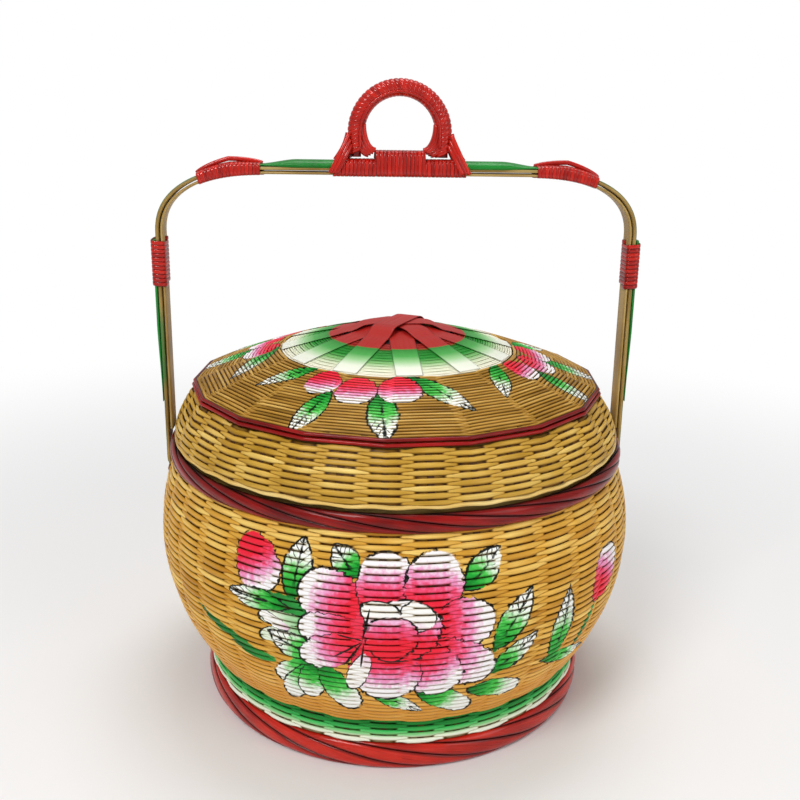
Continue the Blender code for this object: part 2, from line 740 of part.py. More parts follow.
def make_flanks(basket):
    """Strands that slope from the saddle's windings up to the ring."""
    out = ring_coil_radius + ring_strand_thickness / 2 + fit_gap + plain_strand_radius
    low = ring_foot_z + plain_strand_radius / 2
    for name, side in (("left_flank_strand", -1), ("right_flank_strand", 1)):
        foot = (side * (ring_radius + flank_reach), 0, low)
        head = (side * (ring_radius + out), 0, low + flank_rise)
        tube(name, [foot, head], plain_strand_radius, basket, bright_red)


def main():
    clear_scene()
    basket = frame_empty("basket_frame", 0)
    lid = frame_empty("lid_frame", lid_base_z)
    make_foot(basket)
    make_slat("floor_slat_upper", upper_slat_top, True, basket)
    make_slat("floor_slat_lower", lower_slat_top, False, basket)
    make_floor(basket)
    make_bowl(basket)
    make_rim(basket)
    make_lid_side(lid)
    make_shoulder(lid)
    make_dome(lid)
    make_splints(lid)
    make_strips(basket)
    make_caps(basket)
    make_pad(basket)
    make_windings(basket)
    make_ring(basket)
    make_flanks(basket)


main()
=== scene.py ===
# Lidded bamboo basket: its weave, borders, handle and finishes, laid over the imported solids.
# Metres. Azimuth 0 faces -Y and grows towards +X. The photograph was taken from azimuth -3 degrees.

import math

import bpy
import numpy as np
from mathutils import Matrix, Vector


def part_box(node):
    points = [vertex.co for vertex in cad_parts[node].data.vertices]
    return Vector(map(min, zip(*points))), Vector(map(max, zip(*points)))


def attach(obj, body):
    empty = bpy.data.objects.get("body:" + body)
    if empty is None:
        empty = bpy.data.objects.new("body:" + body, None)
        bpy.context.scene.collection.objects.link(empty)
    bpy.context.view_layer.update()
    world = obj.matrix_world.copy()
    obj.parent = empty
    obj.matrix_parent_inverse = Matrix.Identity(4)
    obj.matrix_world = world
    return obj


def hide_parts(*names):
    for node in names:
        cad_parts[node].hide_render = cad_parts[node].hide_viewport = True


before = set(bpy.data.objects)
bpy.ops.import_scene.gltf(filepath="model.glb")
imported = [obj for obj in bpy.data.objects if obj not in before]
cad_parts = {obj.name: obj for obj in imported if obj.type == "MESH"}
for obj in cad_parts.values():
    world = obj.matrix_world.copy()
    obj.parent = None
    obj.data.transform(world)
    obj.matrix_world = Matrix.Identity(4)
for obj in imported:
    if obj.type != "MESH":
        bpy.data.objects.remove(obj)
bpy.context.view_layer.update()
print("frame loaded:", len(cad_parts), "nodes")

mm = 0.001
deg = math.pi / 180
chance = np.random.default_rng(11)


def metres(**lengths):
    # lengths given in millimetres
    return {name: length * mm for name, length in lengths.items()}


# Shapes

def unit(vectors):
    return vectors / np.linalg.norm(vectors, axis=-1, keepdims=True)


def smoothStep(low, high, value):
    # 3t^2 - 2t^3, where t runs from 0 at low to 1 at high
    t = np.clip((value - low) / (high - low), 0, 1)
    return t * t * (3 - 2 * t)


def turnedPoint(radius, azimuth, height):
    # x = radius sin(azimuth), y = -radius cos(azimuth), z = height
    radius, azimuth, height = np.broadcast_arrays(radius, azimuth, height)
    return np.stack([radius * np.sin(azimuth), -radius * np.cos(azimuth), height], -1)


def fullCircle(count):
    # starts at the back, so that no seam faces forwards
    return np.linspace(-math.pi, math.pi, count, endpoint=False)


def signedPower(value, power):
    return np.sign(value) * np.abs(value) ** power


def oval(corners, squareness=2.0):
    # x = cos(a), y = sin(a), each to the power 2 / squareness with its sign kept
    a = 2 * math.pi * (np.arange(corners) + 0.5) / corners
    return signedPower(np.stack([np.cos(a), np.sin(a)], -1), 2 / squareness)


def barkSection(corners):
    # flat underside at y = -1, and a rounded back that rises to y = 1
    a = np.linspace(0, math.pi, corners)
    return np.stack([np.cos(a), 2 * np.sin(a) ** 0.8 - 1], -1)


def carry(path, facing, across, up, section, closed):
    # point = path + x * across * sideways + y * up * facing, sideways = direction of travel x facing
    if closed:
        travel = np.roll(path, -1, 1) - np.roll(path, 1, 1)
    else:
        travel = np.gradient(path, axis=1)
    travel = unit(travel)
    sideways = unit(np.cross(travel, facing))
    lift = np.cross(sideways, travel)
    across = np.broadcast_to(across, path.shape[:2])[..., None, None]
    up = np.broadcast_to(up, path.shape[:2])[..., None, None]
    x = section[:, 0, None]
    y = section[:, 1, None]
    return path[:, :, None] + x * across * sideways[:, :, None] + y * up * lift[:, :, None]


def turnedBand(radius, way, height, up, out, section, lean=0.0):
    # a ring of one section: up and out are its half height and half depth
    return carry(turnedPoint(radius, way, height)[None], turnedPoint(1.0, way, lean)[None], up, out, section, True)


def strandFaces(points, closed):
    # quads between neighbouring stations, turned strand by strand so that each strand's volume is positive
    strands, stations, corners = points.shape[:3]
    index = np.arange(strands * stations * corners).reshape(strands, stations, corners)
    near = index if closed else index[:, :-1]
    far = np.roll(index, -1, 1) if closed else index[:, 1:]
    quads = np.stack([near, np.roll(near, -1, 2), np.roll(far, -1, 2), far], -1)
    centred = (points - points.mean((1, 2), keepdims=True)).reshape(-1, 3)
    a, b, c, d = (centred[quads[..., k]] for k in range(4))
    volume = ((a * np.cross(b, c)) + (a * np.cross(c, d))).sum((1, 2, 3))
    return index, quads, volume < 0


def makeMesh(name, points, closed, marks):
    # UV: u is the way along the strand and v the way round its section, both in metres
    strands, stations, corners = points.shape[:3]
    index, quads, inverted = strandFaces(points, closed)
    middle = points.mean(2)
    ahead = np.roll(middle, -1, 1) if closed else middle[:, 1:]
    steps = np.linalg.norm(ahead - (middle if closed else middle[:, :-1]), axis=2)
    alongAt = np.concatenate([np.zeros((strands, 1)), np.cumsum(steps, 1)], 1)
    girth = np.linalg.norm(points[:, 0] - np.roll(points[:, 0], -1, 1), axis=2).sum(1)
    aroundAt = np.arange(corners + 1) / corners * girth[:, None]
    spans = steps.shape[1]
    u = np.broadcast_to(alongAt[:, :, None], (strands, spans + 1, corners))
    v = np.broadcast_to(aroundAt[:, None, :], (strands, spans, corners + 1))
    uv = np.empty((strands, spans, corners, 4, 2))
    uv[..., 0, 0] = uv[..., 1, 0] = u[:, :-1]
    uv[..., 2, 0] = uv[..., 3, 0] = u[:, 1:]
    uv[..., 0, 1] = uv[..., 3, 1] = v[..., :-1]
    uv[..., 1, 1] = uv[..., 2, 1] = v[..., 1:]
    quads[inverted] = quads[inverted][..., ::-1]
    uv[inverted] = uv[inverted][..., ::-1, :]
    loops = [quads.reshape(-1)]
    starts = [np.arange(quads.size // 4) * 4]
    uvs = [uv.reshape(-1, 2)]
    if not closed:
        first, last = index[:, 0, ::-1].copy(), index[:, -1].copy()
        first[inverted], last[inverted] = first[inverted][:, ::-1], last[inverted][:, ::-1]
        caps = np.concatenate([first, last])
        starts.append(quads.size + np.arange(len(caps)) * corners)
        loops.append(caps.reshape(-1))
        ends = np.concatenate([alongAt[:, 0], alongAt[:, -1]])
        uvs.append(np.stack([np.repeat(ends, corners), np.zeros(caps.size)], -1))
    loops, starts, uvs = (np.concatenate(part) for part in (loops, starts, uvs))
    mesh = bpy.data.meshes.new(name)
    mesh.vertices.add(index.size)
    mesh.vertices.foreach_set("co", points.astype(np.float32).reshape(-1))
    mesh.loops.add(len(loops))
    mesh.loops.foreach_set("vertex_index", loops.astype(np.int32))
    mesh.polygons.add(len(starts))
    mesh.polygons.foreach_set("loop_start", starts.astype(np.int32))
    mesh.update(calc_edges=True)
    mesh.validate()
    mesh.uv_layers.new(name="strand").uv.foreach_set("vector", uvs.astype(np.float32).reshape(-1))
    for mark, values in marks.items():
        values = np.broadcast_to(values, (strands, stations, corners))
        mesh.attributes.new(mark, "FLOAT", "POINT").data.foreach_set("value", values.astype(np.float32).reshape(-1))
    mesh.shade_smooth()
    return mesh


def makePiece(name, points, finish, body, slot, stands=(), closed=True, **marks):
    # finish, body it rides on, slot of the record (not used) and solids it stands for; marks are attributes of its
    # points
    marks.setdefault("tone", chance.random((points.shape[0], 1, 1)))
    piece = bpy.data.objects.new(name, makeMesh(name, points, closed, marks))
    bpy.context.scene.collection.objects.link(piece)
    piece.data.materials.append(finish)
    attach(piece, body)
    if stands:
        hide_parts(*stands)


# Finishes

def colour(red, green, blue):
    # an sRGB colour of 0 to 255 as linear values
    shares = np.array([red, green, blue]) / 255
    linear = np.where(shares <= 0.04045, shares / 12.92, ((shares + 0.055) / 1.055) ** 2.4)
    return (*linear.tolist(), 1.0)


class Nodes:
    # a short way to add nodes to a tree and link them
    def __init__(self, tree):
        self.tree = tree

    def add(self, kind, inputs=None, **settings):
        node = self.tree.nodes.new("ShaderNode" + kind)
        for key, value in settings.items():
            setattr(node, key, value)
        self.feedAll(node.inputs, inputs or {})
        return node

    def feed(self, socket, value):
        if isinstance(value, bpy.types.NodeSocket):
            self.tree.links.new(value, socket)
        elif isinstance(value, bpy.types.Node):
            self.tree.links.new(value.outputs[0], socket)
        else:
            socket.default_value = value

    def feedAll(self, sockets, values):
        for key, value in values.items():
            self.feed(sockets[key], value)

    def math(self, operation, first, second=0.0, third=0.0):
        return self.add("Math", {0: first, 1: second, 2: third}, operation=operation).outputs[0]

    def times(self, first, second):
        return self.math("MULTIPLY", first, second)

    def line(self, value, slope, start):
        return self.math("MULTIPLY_ADD", value, slope, start)

    def blend(self, first, second, share):
        return self.math("ADD", self.times(first, share), self.times(second, 1 - share))

    def spread(self, value, low, high, toLow=0.0, toHigh=1.0):
        return self.add("MapRange", {"Value": value, "From Min": low, "From Max": high, "To Min": toLow,
                                     "To Max": toHigh}).outputs[0]

    def noise(self, place, scale, detail, roughness=0.5):
        return self.add("TexNoise", {"Vector": place, "Scale": scale, "Detail": detail,
                                     "Roughness": roughness}).outputs[0]

    def mark(self, name):
        return self.add("Attribute", attribute_name=name).outputs["Fac"]

    def objectPlace(self):
        return self.add("TexCoord").outputs["Object"]

    def mix(self, share, first, second, blend="MIX"):
        node = self.add("Mix", {0: share, 6: first, 7: second}, data_type="RGBA", blend_type=blend, clamp_factor=True)
        return node.outputs[2]

    def ramp(self, value, stops):
        # stops in sRGB of 0 to 255, or as four linear values
        node = self.add("ValToRGB", {"Fac": value})
        elements = node.color_ramp.elements
        while len(elements) < len(stops):
            elements.new(0.5)
        for element, (position, shade) in zip(elements, stops):
            element.position = position
            element.color = shade if len(shade) == 4 else colour(*shade)
        return node.outputs[0]


def makeGroup(name, **sockets):
    # sockets: the labels of each way and kind, such as inFloat="Along Across"
    tree = bpy.data.node_groups.new(name, "ShaderNodeTree")
    for key, labels in sockets.items():
        way, kind = ("INPUT", key[2:]) if key.startswith("in") else ("OUTPUT", key[3:])
        for label in labels.split():
            tree.interface.new_socket(name=label, in_out=way, socket_type="NodeSocket" + kind)
    given, result = tree.nodes.new("NodeGroupInput"), tree.nodes.new("NodeGroupOutput")
    return tree, Nodes(tree), given.outputs, result.inputs


def makeStrandGrain():
    # streaks that run along a strand: noise on (u, v, strand), with v drawn out far more than u
    tree, n, given, result = makeGroup("strandGrain", inFloat="Along Across", outFloat="Streak Patch Tone")
    u, v, _ = n.add("SeparateXYZ", {0: n.add("UVMap", uv_map="strand")}).outputs
    tone = n.mark("tone")
    apart = n.times(tone, 41.0)
    spot = n.add("CombineXYZ", {0: n.times(u, given["Along"]), 1: n.times(v, given["Across"]), 2: apart})
    wide = n.add("CombineXYZ", {0: n.times(u, 28.0), 1: apart})
    n.feedAll(result, {"Streak": n.noise(spot, 1.0, 3.0, 0.6), "Patch": n.noise(wide, 1.0, 2.0), "Tone": tone})
    return tree


strandGrain = makeStrandGrain()


def newFinish(name):
    finish = bpy.data.materials.new(name)
    finish.use_nodes = True
    n = Nodes(finish.node_tree)
    return finish, n, finish.node_tree.nodes["Principled BSDF"]


def grainOf(n, along=60.0, across=2500.0):
    return n.add("Group", {"Along": along, "Across": across}, node_tree=strandGrain).outputs


def makeTurnedPlace():
    # where a point lies on a turned wall: azimuth = atan2(x, -y), wrapped about Centre into one Period
    tree, n, given, result = makeGroup("turnedPlace", inFloat="Centre Period Girth", outVector="Wall Plan",
                                       outFloat="Radius Height Rough Broken")
    point = n.objectPlace()
    x, y, z = n.add("SeparateXYZ", {0: point}).outputs
    azimuth = n.math("ARCTAN2", x, n.times(y, -1.0))
    half = n.math("DIVIDE", given["Period"], 2.0)
    turned = n.math("WRAP", n.math("SUBTRACT", azimuth, given["Centre"]), half, n.times(half, -1.0))
    radius = n.math("SQRT", n.math("ADD", n.math("POWER", x, 2.0), n.math("POWER", y, 2.0)))
    wall = n.add("CombineXYZ", {0: n.times(turned, given["Girth"]), 1: z})
    plan = n.add("CombineXYZ", {0: n.times(radius, n.math("SINE", turned)),
                                1: n.times(radius, n.times(n.math("COSINE", turned), -1.0))})
    n.feedAll(result, {"Wall": wall, "Plan": plan, "Radius": radius, "Height": z,
                       "Rough": n.line(n.noise(point, 330.0, 2.0), 0.35, -0.175),
                       "Broken": n.line(n.noise(point, 150.0, 2.0), 12.0, -4.4)})
    return tree


def makePaintedShape(name, stops, pointed):
    # t runs from base to tip and w from side to side, each a dot product with the place.
    # A leaf ends where |w| = 1 - (2t - 1)^2, a petal where (2t - 1)^2 + (w / (0.72 + 0.28t))^2 = 1.
    # Masks are straight slopes joined with minimum and maximum, and only the mixes cut them off at 0 and 1.
    tree, n, given, result = makeGroup(name, inVector="Place Base Along Across", inFloat="Rough Broken Line Covered",
                                       inColor="Under", outColor="Colour", outFloat="Covered")
    away = n.add("VectorMath", {0: given["Place"], 1: given["Base"]}, operation="SUBTRACT")
    t, w = (n.add("VectorMath", {0: away, 1: given[axis]}, operation="DOT_PRODUCT").outputs["Value"]
            for axis in ("Along", "Across"))
    w = n.math("ADD", n.math("ABSOLUTE", w), given["Rough"])
    bow = n.line(t, 2.0, -1.0)
    bow = n.times(bow, bow)
    if pointed:
        edge = n.math("SUBTRACT", n.math("SUBTRACT", 1.0, bow), w)
    else:
        wide = n.math("DIVIDE", w, n.line(t, 0.28, 0.72))
        edge = n.math("SUBTRACT", 1.0, n.math("SQRT", n.line(wide, wide, bow)))
    inside = n.line(edge, 20.0, 0.2)
    apart = n.math("DIVIDE", n.math("ABSOLUTE", edge), given["Line"])
    outline = n.math("MINIMUM", n.line(apart, -2.0, 2.2), given["Broken"])
    lit = n.line(n.times(w, w), 0.10, n.math("ADD", t, given["Rough"]))
    shade = n.mix(inside, given["Under"], n.ramp(lit, stops))
    if pointed:
        rib = n.math("MINIMUM", n.line(w, -12.0, 1.5), n.line(t, 6.0, -1.2))
        comb = n.math("FRACT", n.math("SUBTRACT", n.times(t, 7.0), n.times(w, 2.2)))
        veins = n.math("MINIMUM", n.line(comb, -8.0, 2.0), n.line(t, 6.0, -3.1))
        marks = n.math("MINIMUM", n.math("MAXIMUM", rib, veins), n.times(edge, 10.0))
        shade = n.mix(n.math("MINIMUM", marks, given["Broken"]), shade, ink)
    n.feedAll(result, {"Colour": n.mix(outline, shade, ink),
                       "Covered": n.math("MAXIMUM", n.math("MAXIMUM", inside, outline), given["Covered"])})
    return tree


ink = colour(16, 20, 14)
turnedPlace = makeTurnedPlace()
leafStops = [(0.05, (6, 110, 32)), (0.30, (26, 168, 50)), (0.5, (84, 206, 84)), (0.62, (206, 240, 200)),
             (0.74, (252, 254, 248))]
brush = {  # width of the outline, and colours from base to tip
    "leaf": (0.10, leafStops),
    "lobe": (0.055, [(position * 1.05, shade) for position, shade in leafStops]),
    "stem": (0.001, [(0.2, (12, 96, 36)), (0.8, (40, 150, 60))]),
    "pale": (0.06, [(0.1, (120, 200, 120)), (0.6, (232, 242, 220))]),
    "petal": (0.034, [(0.36, (240, 36, 60)), (0.53, (244, 80, 124)), (0.68, (242, 160, 206)),
                      (0.84, (253, 250, 252))]),
    "inner": (0.045, [(0.5, (238, 34, 56)), (0.76, (240, 92, 140)), (0.94, (246, 190, 224))]),
    "heart": (0.001, [(0.2, (236, 34, 58)), (0.9, (240, 62, 92))]),
    "ink": (0.001, [(0.1, ink), (0.9, ink)]),
    "white": (0.06, [(0.1, (240, 206, 226)), (0.4, (252, 250, 246))]),
}
brushTree = {kind: makePaintedShape("painted" + kind.capitalize(), stops, kind == "leaf")
             for kind, (_, stops) in brush.items()}


def paintShapes(n, base, place, view, shapes):
    # each shape: brush, base x, y, tip x, y and half width; t = (place - base).axis / length^2
    under, covered = colour(206, 158, 76), 0.0
    for kind, baseX, baseY, tipX, tipY, half in shapes:
        axis = np.array([tipX - baseX, tipY - baseY])
        length = math.hypot(*axis)
        shape = n.add("Group", {
            "Base": (baseX, baseY, 0), "Along": (*(axis / length ** 2), 0), "Line": brush[kind][0],
            "Across": (-axis[1] / length / half, axis[0] / length / half, 0), "Place": place[view],
            "Rough": place["Rough"], "Broken": place["Broken"], "Under": under, "Covered": covered,
        }, node_tree=brushTree[kind]).outputs
        under, covered = shape["Colour"], shape["Covered"]
    return n.mix(covered, base, under)


def placeOf(n, centre=0.0, period=360 * deg, girth=1.0):
    return n.add("Group", {"Centre": centre, "Period": period, "Girth": girth}, node_tree=turnedPlace).outputs


def greyed(n, shade, share, greenPower=1.0, bluePower=1.0):
    # the colour times a share; powers over 1 let green and blue fall faster, so that straw darkens to amber
    green = n.math("POWER", share, greenPower) if greenPower != 1 else share
    blue = n.math("POWER", share, bluePower) if bluePower != 1 else share
    return n.mix(1.0, shade, n.add("CombineColor", {0: share, 1: green, 2: blue}), "MULTIPLY")


def dress(n, shader, base, streak, roughness, specular, coat, coatRoughness, relief, depth):
    # roughness goes from its first to its second value with the streaks, and the relief reaches depth metres
    n.feedAll(shader.inputs, {
        "Base Color": base, "Roughness": n.spread(streak, 0.3, 0.7, *roughness), "Specular IOR Level": specular,
        "Coat Weight": coat, "Coat Roughness": coatRoughness,
        "Normal": n.add("Bump", {"Height": relief, "Distance": depth, "Strength": 1.0})})


def strawFinish(name, dark, middle, pale, paint=None):
    finish, n, shader = newFinish(name)
    grain = grainOf(n)
    streak = grain["Streak"]
    base = n.ramp(n.blend(grain["Patch"], grain["Tone"], 0.78), [(0.28, dark), (0.5, middle), (0.72, pale)])
    base = greyed(n, base, n.spread(streak, 0.3, 0.7, 0.84, 1.08))
    if paint:
        base = n.mix(n.spread(n.mark("face"), -0.5, -0.2), base, paint(n, base))
    edge = n.mark("edge")
    # painted shade across each strip: darker towards its lower edge and a little at its upper edge, as if the strip
    # were rounded under light from above
    edgeShade = n.times(n.spread(edge, 0.35, 1.0, 1.0, 0.5), n.spread(edge, -1.0, -0.6, 0.82, 1.0))
    # painted shade: behind its neighbours a strip is darkest just past the crossing
    sunkShade = n.ramp(n.spread(n.mark("proud"), -1.0, 1.0), [(at, (share, share, share, 1)) for at, share in
                                                         ((0.02, 0.34), (0.12, 0.08), (0.17, 0.12), (0.27, 1.0))])
    base = greyed(n, base, n.times(edgeShade, sunkShade), 1.2, 1.7)
    dress(n, shader, base, streak, (0.34, 0.5), 0.14, n.times(sunkShade, 0.12), 0.2, streak, 0.12 * mm)
    return finish


def lacquerFinish(name, dark, bright, grooveShade, coat):
    finish, n, shader = newFinish(name)
    grain = grainOf(n, 45.0, 1800.0)
    patch, streak = grain["Patch"], grain["Streak"]
    base = n.ramp(n.blend(patch, streak, 0.6), [(0.34, dark), (0.6, bright)])
    # painted shade: darker at each strand's edges, in the grooves between strands, and in the crevice under the lid's
    # edge
    deep = n.spread(n.mark("deep"), 0.0, 1.0, 1.0, 0.06)
    base = greyed(n, base, n.times(n.spread(n.math("ABSOLUTE", n.mark("edge")), 0.6, 1.0, 1.0, grooveShade), deep))
    dress(n, shader, base, streak, (0.26, 0.4), 0.12, n.times(deep, coat), 0.08, n.line(patch, 3.0, streak), 0.18 * mm)
    return finish


def bambooFinish(name, dark, middle, pale, roughness=0.35, paint=None):
    finish, n, shader = newFinish(name)
    grain = grainOf(n, 25.0, 2200.0)
    streak = grain["Streak"]
    base = n.ramp(n.blend(grain["Patch"], streak, 0.5), [(0.32, dark), (0.5, middle), (0.68, pale)])
    if paint:
        base = paint(n, base)
    dress(n, shader, base, streak, (roughness - 0.05, roughness + 0.12), 0.3, 0.0, 0.1, streak, 0.1 * mm)
    return finish


# Painted ornament, in real sizes: along the wall, a degree of azimuth is 2.618 mm

bowlGirth = 150 * mm
bowlFlowers = [  # brush, base azimuth and height, tip azimuth and height, half width
    ("stem", -51.8, 93.5, -29.3, 74.3, 3.8), ("stem", -41.2, 79.1, -28.7, 75.7, 4.2),
    ("stem", 43.9, 65.0, 49.3, 94.8, 3.2), ("leaf", 36.4, 62.3, 37.7, 116.1, 8.8),
    ("leaf", 32.3, 69.2, 52.4, 58.4, 5.0), ("stem", 21.0, 79.3, 3.1, 72.2, 4.0),
    ("leaf", 18.5, 87.1, 26.9, 124.4, 8.6), ("leaf", 18.3, 70.2, 29.5, 94.7, 7.4),
    ("leaf", -23.9, 118.1, -21.7, 154.5, 8.4), ("leaf", -9.9, 135.7, -15.3, 152.6, 7.6),
    ("leaf", 11.5, 128.4, 20.0, 149.1, 8.6), ("petal", -35.7, 150.2, -29.1, 121.0, 16.5),
    ("petal", 48.4, 94.5, 56.0, 125.6, 16.0), ("stem", -34.7, 116.1, -19.0, 112.8, 8.4),
    ("leaf", -24.0, 114.3, -40.0, 115.4, 6.4), ("pale", -20.7, 108.4, -31.7, 104.5, 5.6),
    ("pale", -20.2, 102.5, -31.8, 91.5, 6.2), ("white", -24.2, 101.2, -31.5, 107.0, 4.2),
    ("leaf", -17.2, 83.7, -29.6, 96.4, 9.0), ("lobe", -17.6, 83.5, -29.7, 63.1, 9.0),
    ("lobe", -18.4, 83.1, -28.4, 47.4, 9.0), ("lobe", -19.3, 82.0, -22.3, 51.7, 9.0),
    ("lobe", -18.0, 82.7, -11.3, 46.8, 11.0), ("leaf", -8.4, 64.8, 4.6, 45.4, 5.6),
    ("lobe", 2.4, 66.5, 16.0, 44.5, 9.4), ("lobe", 14.2, 61.7, 28.8, 53.9, 8.6),
    ("petal", -7.1, 111.9, -21.8, 131.7, 18.5), ("petal", -7.1, 103.8, -22.3, 104.7, 12.5),
    ("petal", -7.1, 102.7, -22.3, 83.4, 12.0), ("petal", -4.1, 109.9, -4.5, 150.6, 18.0),
    ("petal", 3.3, 109.6, 7.1, 150.6, 18.0), ("petal", 2.6, 107.4, 18.4, 110.8, 17.0),
    ("petal", -0.3, 98.2, 19.5, 73.5, 17.0), ("petal", 0.4, 100.6, 9.7, 62.8, 18.0),
    ("petal", -4.3, 105.3, -4.3, 58.1, 22.5), ("white", -7.8, 92.7, -11.8, 65.0, 6.4),
    ("heart", -2.4, 84.0, -2.6, 125.5, 25.5), ("petal", -1.0, 87.6, -0.3, 125.1, 23.0),
    ("white", -6.0, 109.3, -4.9, 124.2, 12.0), ("white", 0.7, 107.2, 3.4, 122.7, 11.0),
    ("inner", -3.2, 87.6, -3.1, 115.3, 16.4), ("ink", -8.8, 99.5, -14.9, 88.5, 0.7),
    ("ink", -8.8, 99.5, -12.9, 82.9, 0.7), ("ink", -8.9, 100.4, -7.4, 120.1, 0.7),
    ("ink", -8.6, 98.5, -9.4, 81.8, 0.7), ("ink", -8.6, 100.0, -14.0, 103.3, 0.6),
]
domeFlowers = [  # brush, base azimuth and radius, tip azimuth and radius, half width
    ("leaf", -39.5, 73.0, -55.5, 104.0, 6.0), ("leaf", -25.8, 92.0, -28.6, 132.0, 7.4),
    ("leaf", -8.6, 90.0, -5.0, 132.0, 8.8), ("leaf", 1.6, 75.0, 20.8, 110.0, 7.2),
    ("petal", -33.5, 75.5, -30.0, 97.5, 12.4), ("petal", -2.0, 75.5, -1.4, 100.0, 14.6),
    ("petal", -18.6, 78.0, -16.2, 102.5, 14.0),
]


def bowlPaint(n, base):
    # warmer and oranger near the foot, then the flowers, twice round the bowl
    place = placeOf(n, 0.0, 180 * deg, bowlGirth)
    warm = n.spread(place["Height"], 44 * mm, 84 * mm, 0.7, 0.0)
    base = n.mix(warm, base, colour(226, 154, 62))
    shapes = [(kind, a * deg * bowlGirth, h * mm, b * deg * bowlGirth, k * mm, half * mm)
              for kind, a, h, b, k, half in bowlFlowers]
    return paintShapes(n, base, place, "Wall", shapes)


def domePaint(n, base):
    # one cluster in each quarter of the dome, in plan: x = r sin(a), y = -r cos(a)
    place = placeOf(n, -17 * deg, 90 * deg)
    shapes = []
    for kind, a, r, b, s, half in domeFlowers:
        a, b = (a + 17) * deg, (b + 17) * deg
        shapes.append((kind, r * mm * math.sin(a), -r * mm * math.cos(a), s * mm * math.sin(b), -s * mm * math.cos(b),
                       half * mm))
    return paintShapes(n, base, place, "Plan", shapes)


def bandsOf(n, value, low, high, stops):
    return n.ramp(n.spread(value, low, high), [((at - low / mm) / ((high - low) / mm), shade) for at, shade in stops])


def skirtBands(n, base):
    bands = [(17.2, (250, 250, 236)), (20.6, (236, 246, 220)), (22.6, (140, 214, 140)),
             (25.2, (66, 196, 96)), (28.6, (20, 132, 48)), (32.0, (34, 146, 56))]
    return bandsOf(n, placeOf(n)["Height"], 16 * mm, 34 * mm, bands)


def crownBands(n, base):
    # near black between the rays near the middle, as painted shade of the holes there, then red, green and cream
    place = placeOf(n)
    bands = [(30.0, (26, 6, 4)), (34.5, (48, 8, 6)), (37.0, (168, 36, 30)),
             (43.0, (166, 40, 32)), (44.5, (26, 124, 34)), (55.0, (48, 156, 56)),
             (60.0, (140, 200, 124)), (66.0, (232, 240, 208)), (74.0, (250, 246, 226))]
    return bandsOf(n, place["Radius"], 28 * mm, 76 * mm, bands)


def splintBands(n, base):
    place = placeOf(n)
    bands = [(0.0, (178, 36, 30)), (43.4, (178, 34, 28)), (44.4, (44, 140, 48)),
             (53.0, (76, 172, 78)), (59.5, (160, 212, 148)), (66.0, (236, 243, 222)),
             (75.0, (244, 244, 232))]
    base = bandsOf(n, place["Radius"], 0.0, 76 * mm, bands)
    # painted shade along both edges of each splint
    edge = n.math("ABSOLUTE", n.mark("edge"))
    return greyed(n, base, n.spread(edge, 0.92, 0.99, 1.0, 0.5))


def barkPaint(n, base):
    # green bark on the outer face, and a green stain on the left arm
    base = n.mix(n.spread(n.mark("face"), 0.35, 0.75), base, colour(58, 104, 54))
    x, _, z = n.add("SeparateXYZ", {0: n.objectPlace()}).outputs
    stain = n.times(n.spread(z, 196 * mm, 206 * mm), n.spread(z, 240 * mm, 254 * mm, 1.0, 0.0))
    left = n.math("LESS_THAN", x, -0.14)
    return n.mix(n.times(n.times(stain, left), 0.8), base, colour(52, 120, 60))


def caneCore():
    # bare cane under the windings, on Object coordinates
    finish, n, shader = newFinish("caneCore")
    fibre = n.noise(n.objectPlace(), 900.0, 3.0)
    n.feedAll(shader.inputs, {"Base Color": n.ramp(fibre, [(0.35, (96, 14, 12)), (0.65, (140, 26, 20))]),
                              "Roughness": n.spread(fibre, 0.3, 0.7, 0.4, 0.6)})
    return finish


bowlStraw = strawFinish("bowlStraw", (190, 130, 28), (228, 173, 66), (250, 212, 116), bowlPaint)
sideStraw = strawFinish("sideStraw", (176, 132, 34), (212, 168, 70), (244, 212, 122))
domeStraw = strawFinish("domeStraw", (136, 97, 20), (182, 136, 50), (216, 175, 92), domePaint)
edgeStraw = strawFinish("edgeStraw", (206, 158, 70), (232, 192, 104), (248, 220, 146))
# the stakes' straw is painted dark brown, as the shade in the gaps between the rows
shadedStakeStraw = bambooFinish("shadedStakeStraw", (50, 28, 4), (76, 46, 10), (104, 66, 18), 0.6)
skirtPaint = strawFinish("skirtPaint", (12, 96, 36), (24, 138, 56), (90, 184, 100), skirtBands)
crownPaint = strawFinish("crownPaint", (20, 120, 50), (70, 170, 90), (170, 215, 165), crownBands)
# the foot's red lacquer painted darker as shade: the rim for the lid's shadow on it, and the upper shoulder strand for
# the shade it lies in
shadedPlaitRed = lacquerFinish("shadedPlaitRed", (88, 3, 1), (150, 12, 6), 0.10, 0.3)
footRed = lacquerFinish("footRed", (144, 14, 6), (206, 40, 24), 0.10, 0.5)
shoulderRed = lacquerFinish("shoulderRed", (120, 6, 4), (164, 16, 14), 0.3, 0.3)
# the borders' cores are painted near black, as the shade in the gaps between the strands
plaitCoreShade = lacquerFinish("plaitCoreShade", (36, 3, 2), (60, 6, 4), 0.5, 0.0)
ringRed = lacquerFinish("ringRed", (134, 10, 6), (204, 32, 16), 0.12, 0.55)
splintPaint = bambooFinish("splintPaint", (180, 34, 34), (196, 46, 40), (210, 60, 50), 0.4, splintBands)
bareBamboo = bambooFinish("bareBamboo", (118, 86, 36), (170, 138, 76), (206, 180, 116))
barkBamboo = bambooFinish("barkBamboo", (110, 82, 34), (162, 132, 70), (202, 176, 110), 0.35, barkPaint)
greenBamboo = bambooFinish("greenBamboo", (6, 88, 24), (14, 122, 36), (36, 152, 58), 0.25)
coreCane = caneCore()
print("finishes made")


# Turned walls: where their rows of weave lie

cornerShare = math.cos(5 * deg)    # the solids' corners lie 5 degrees off the axes


def outerRadius(node):
    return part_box(node)[1].x / cornerShare


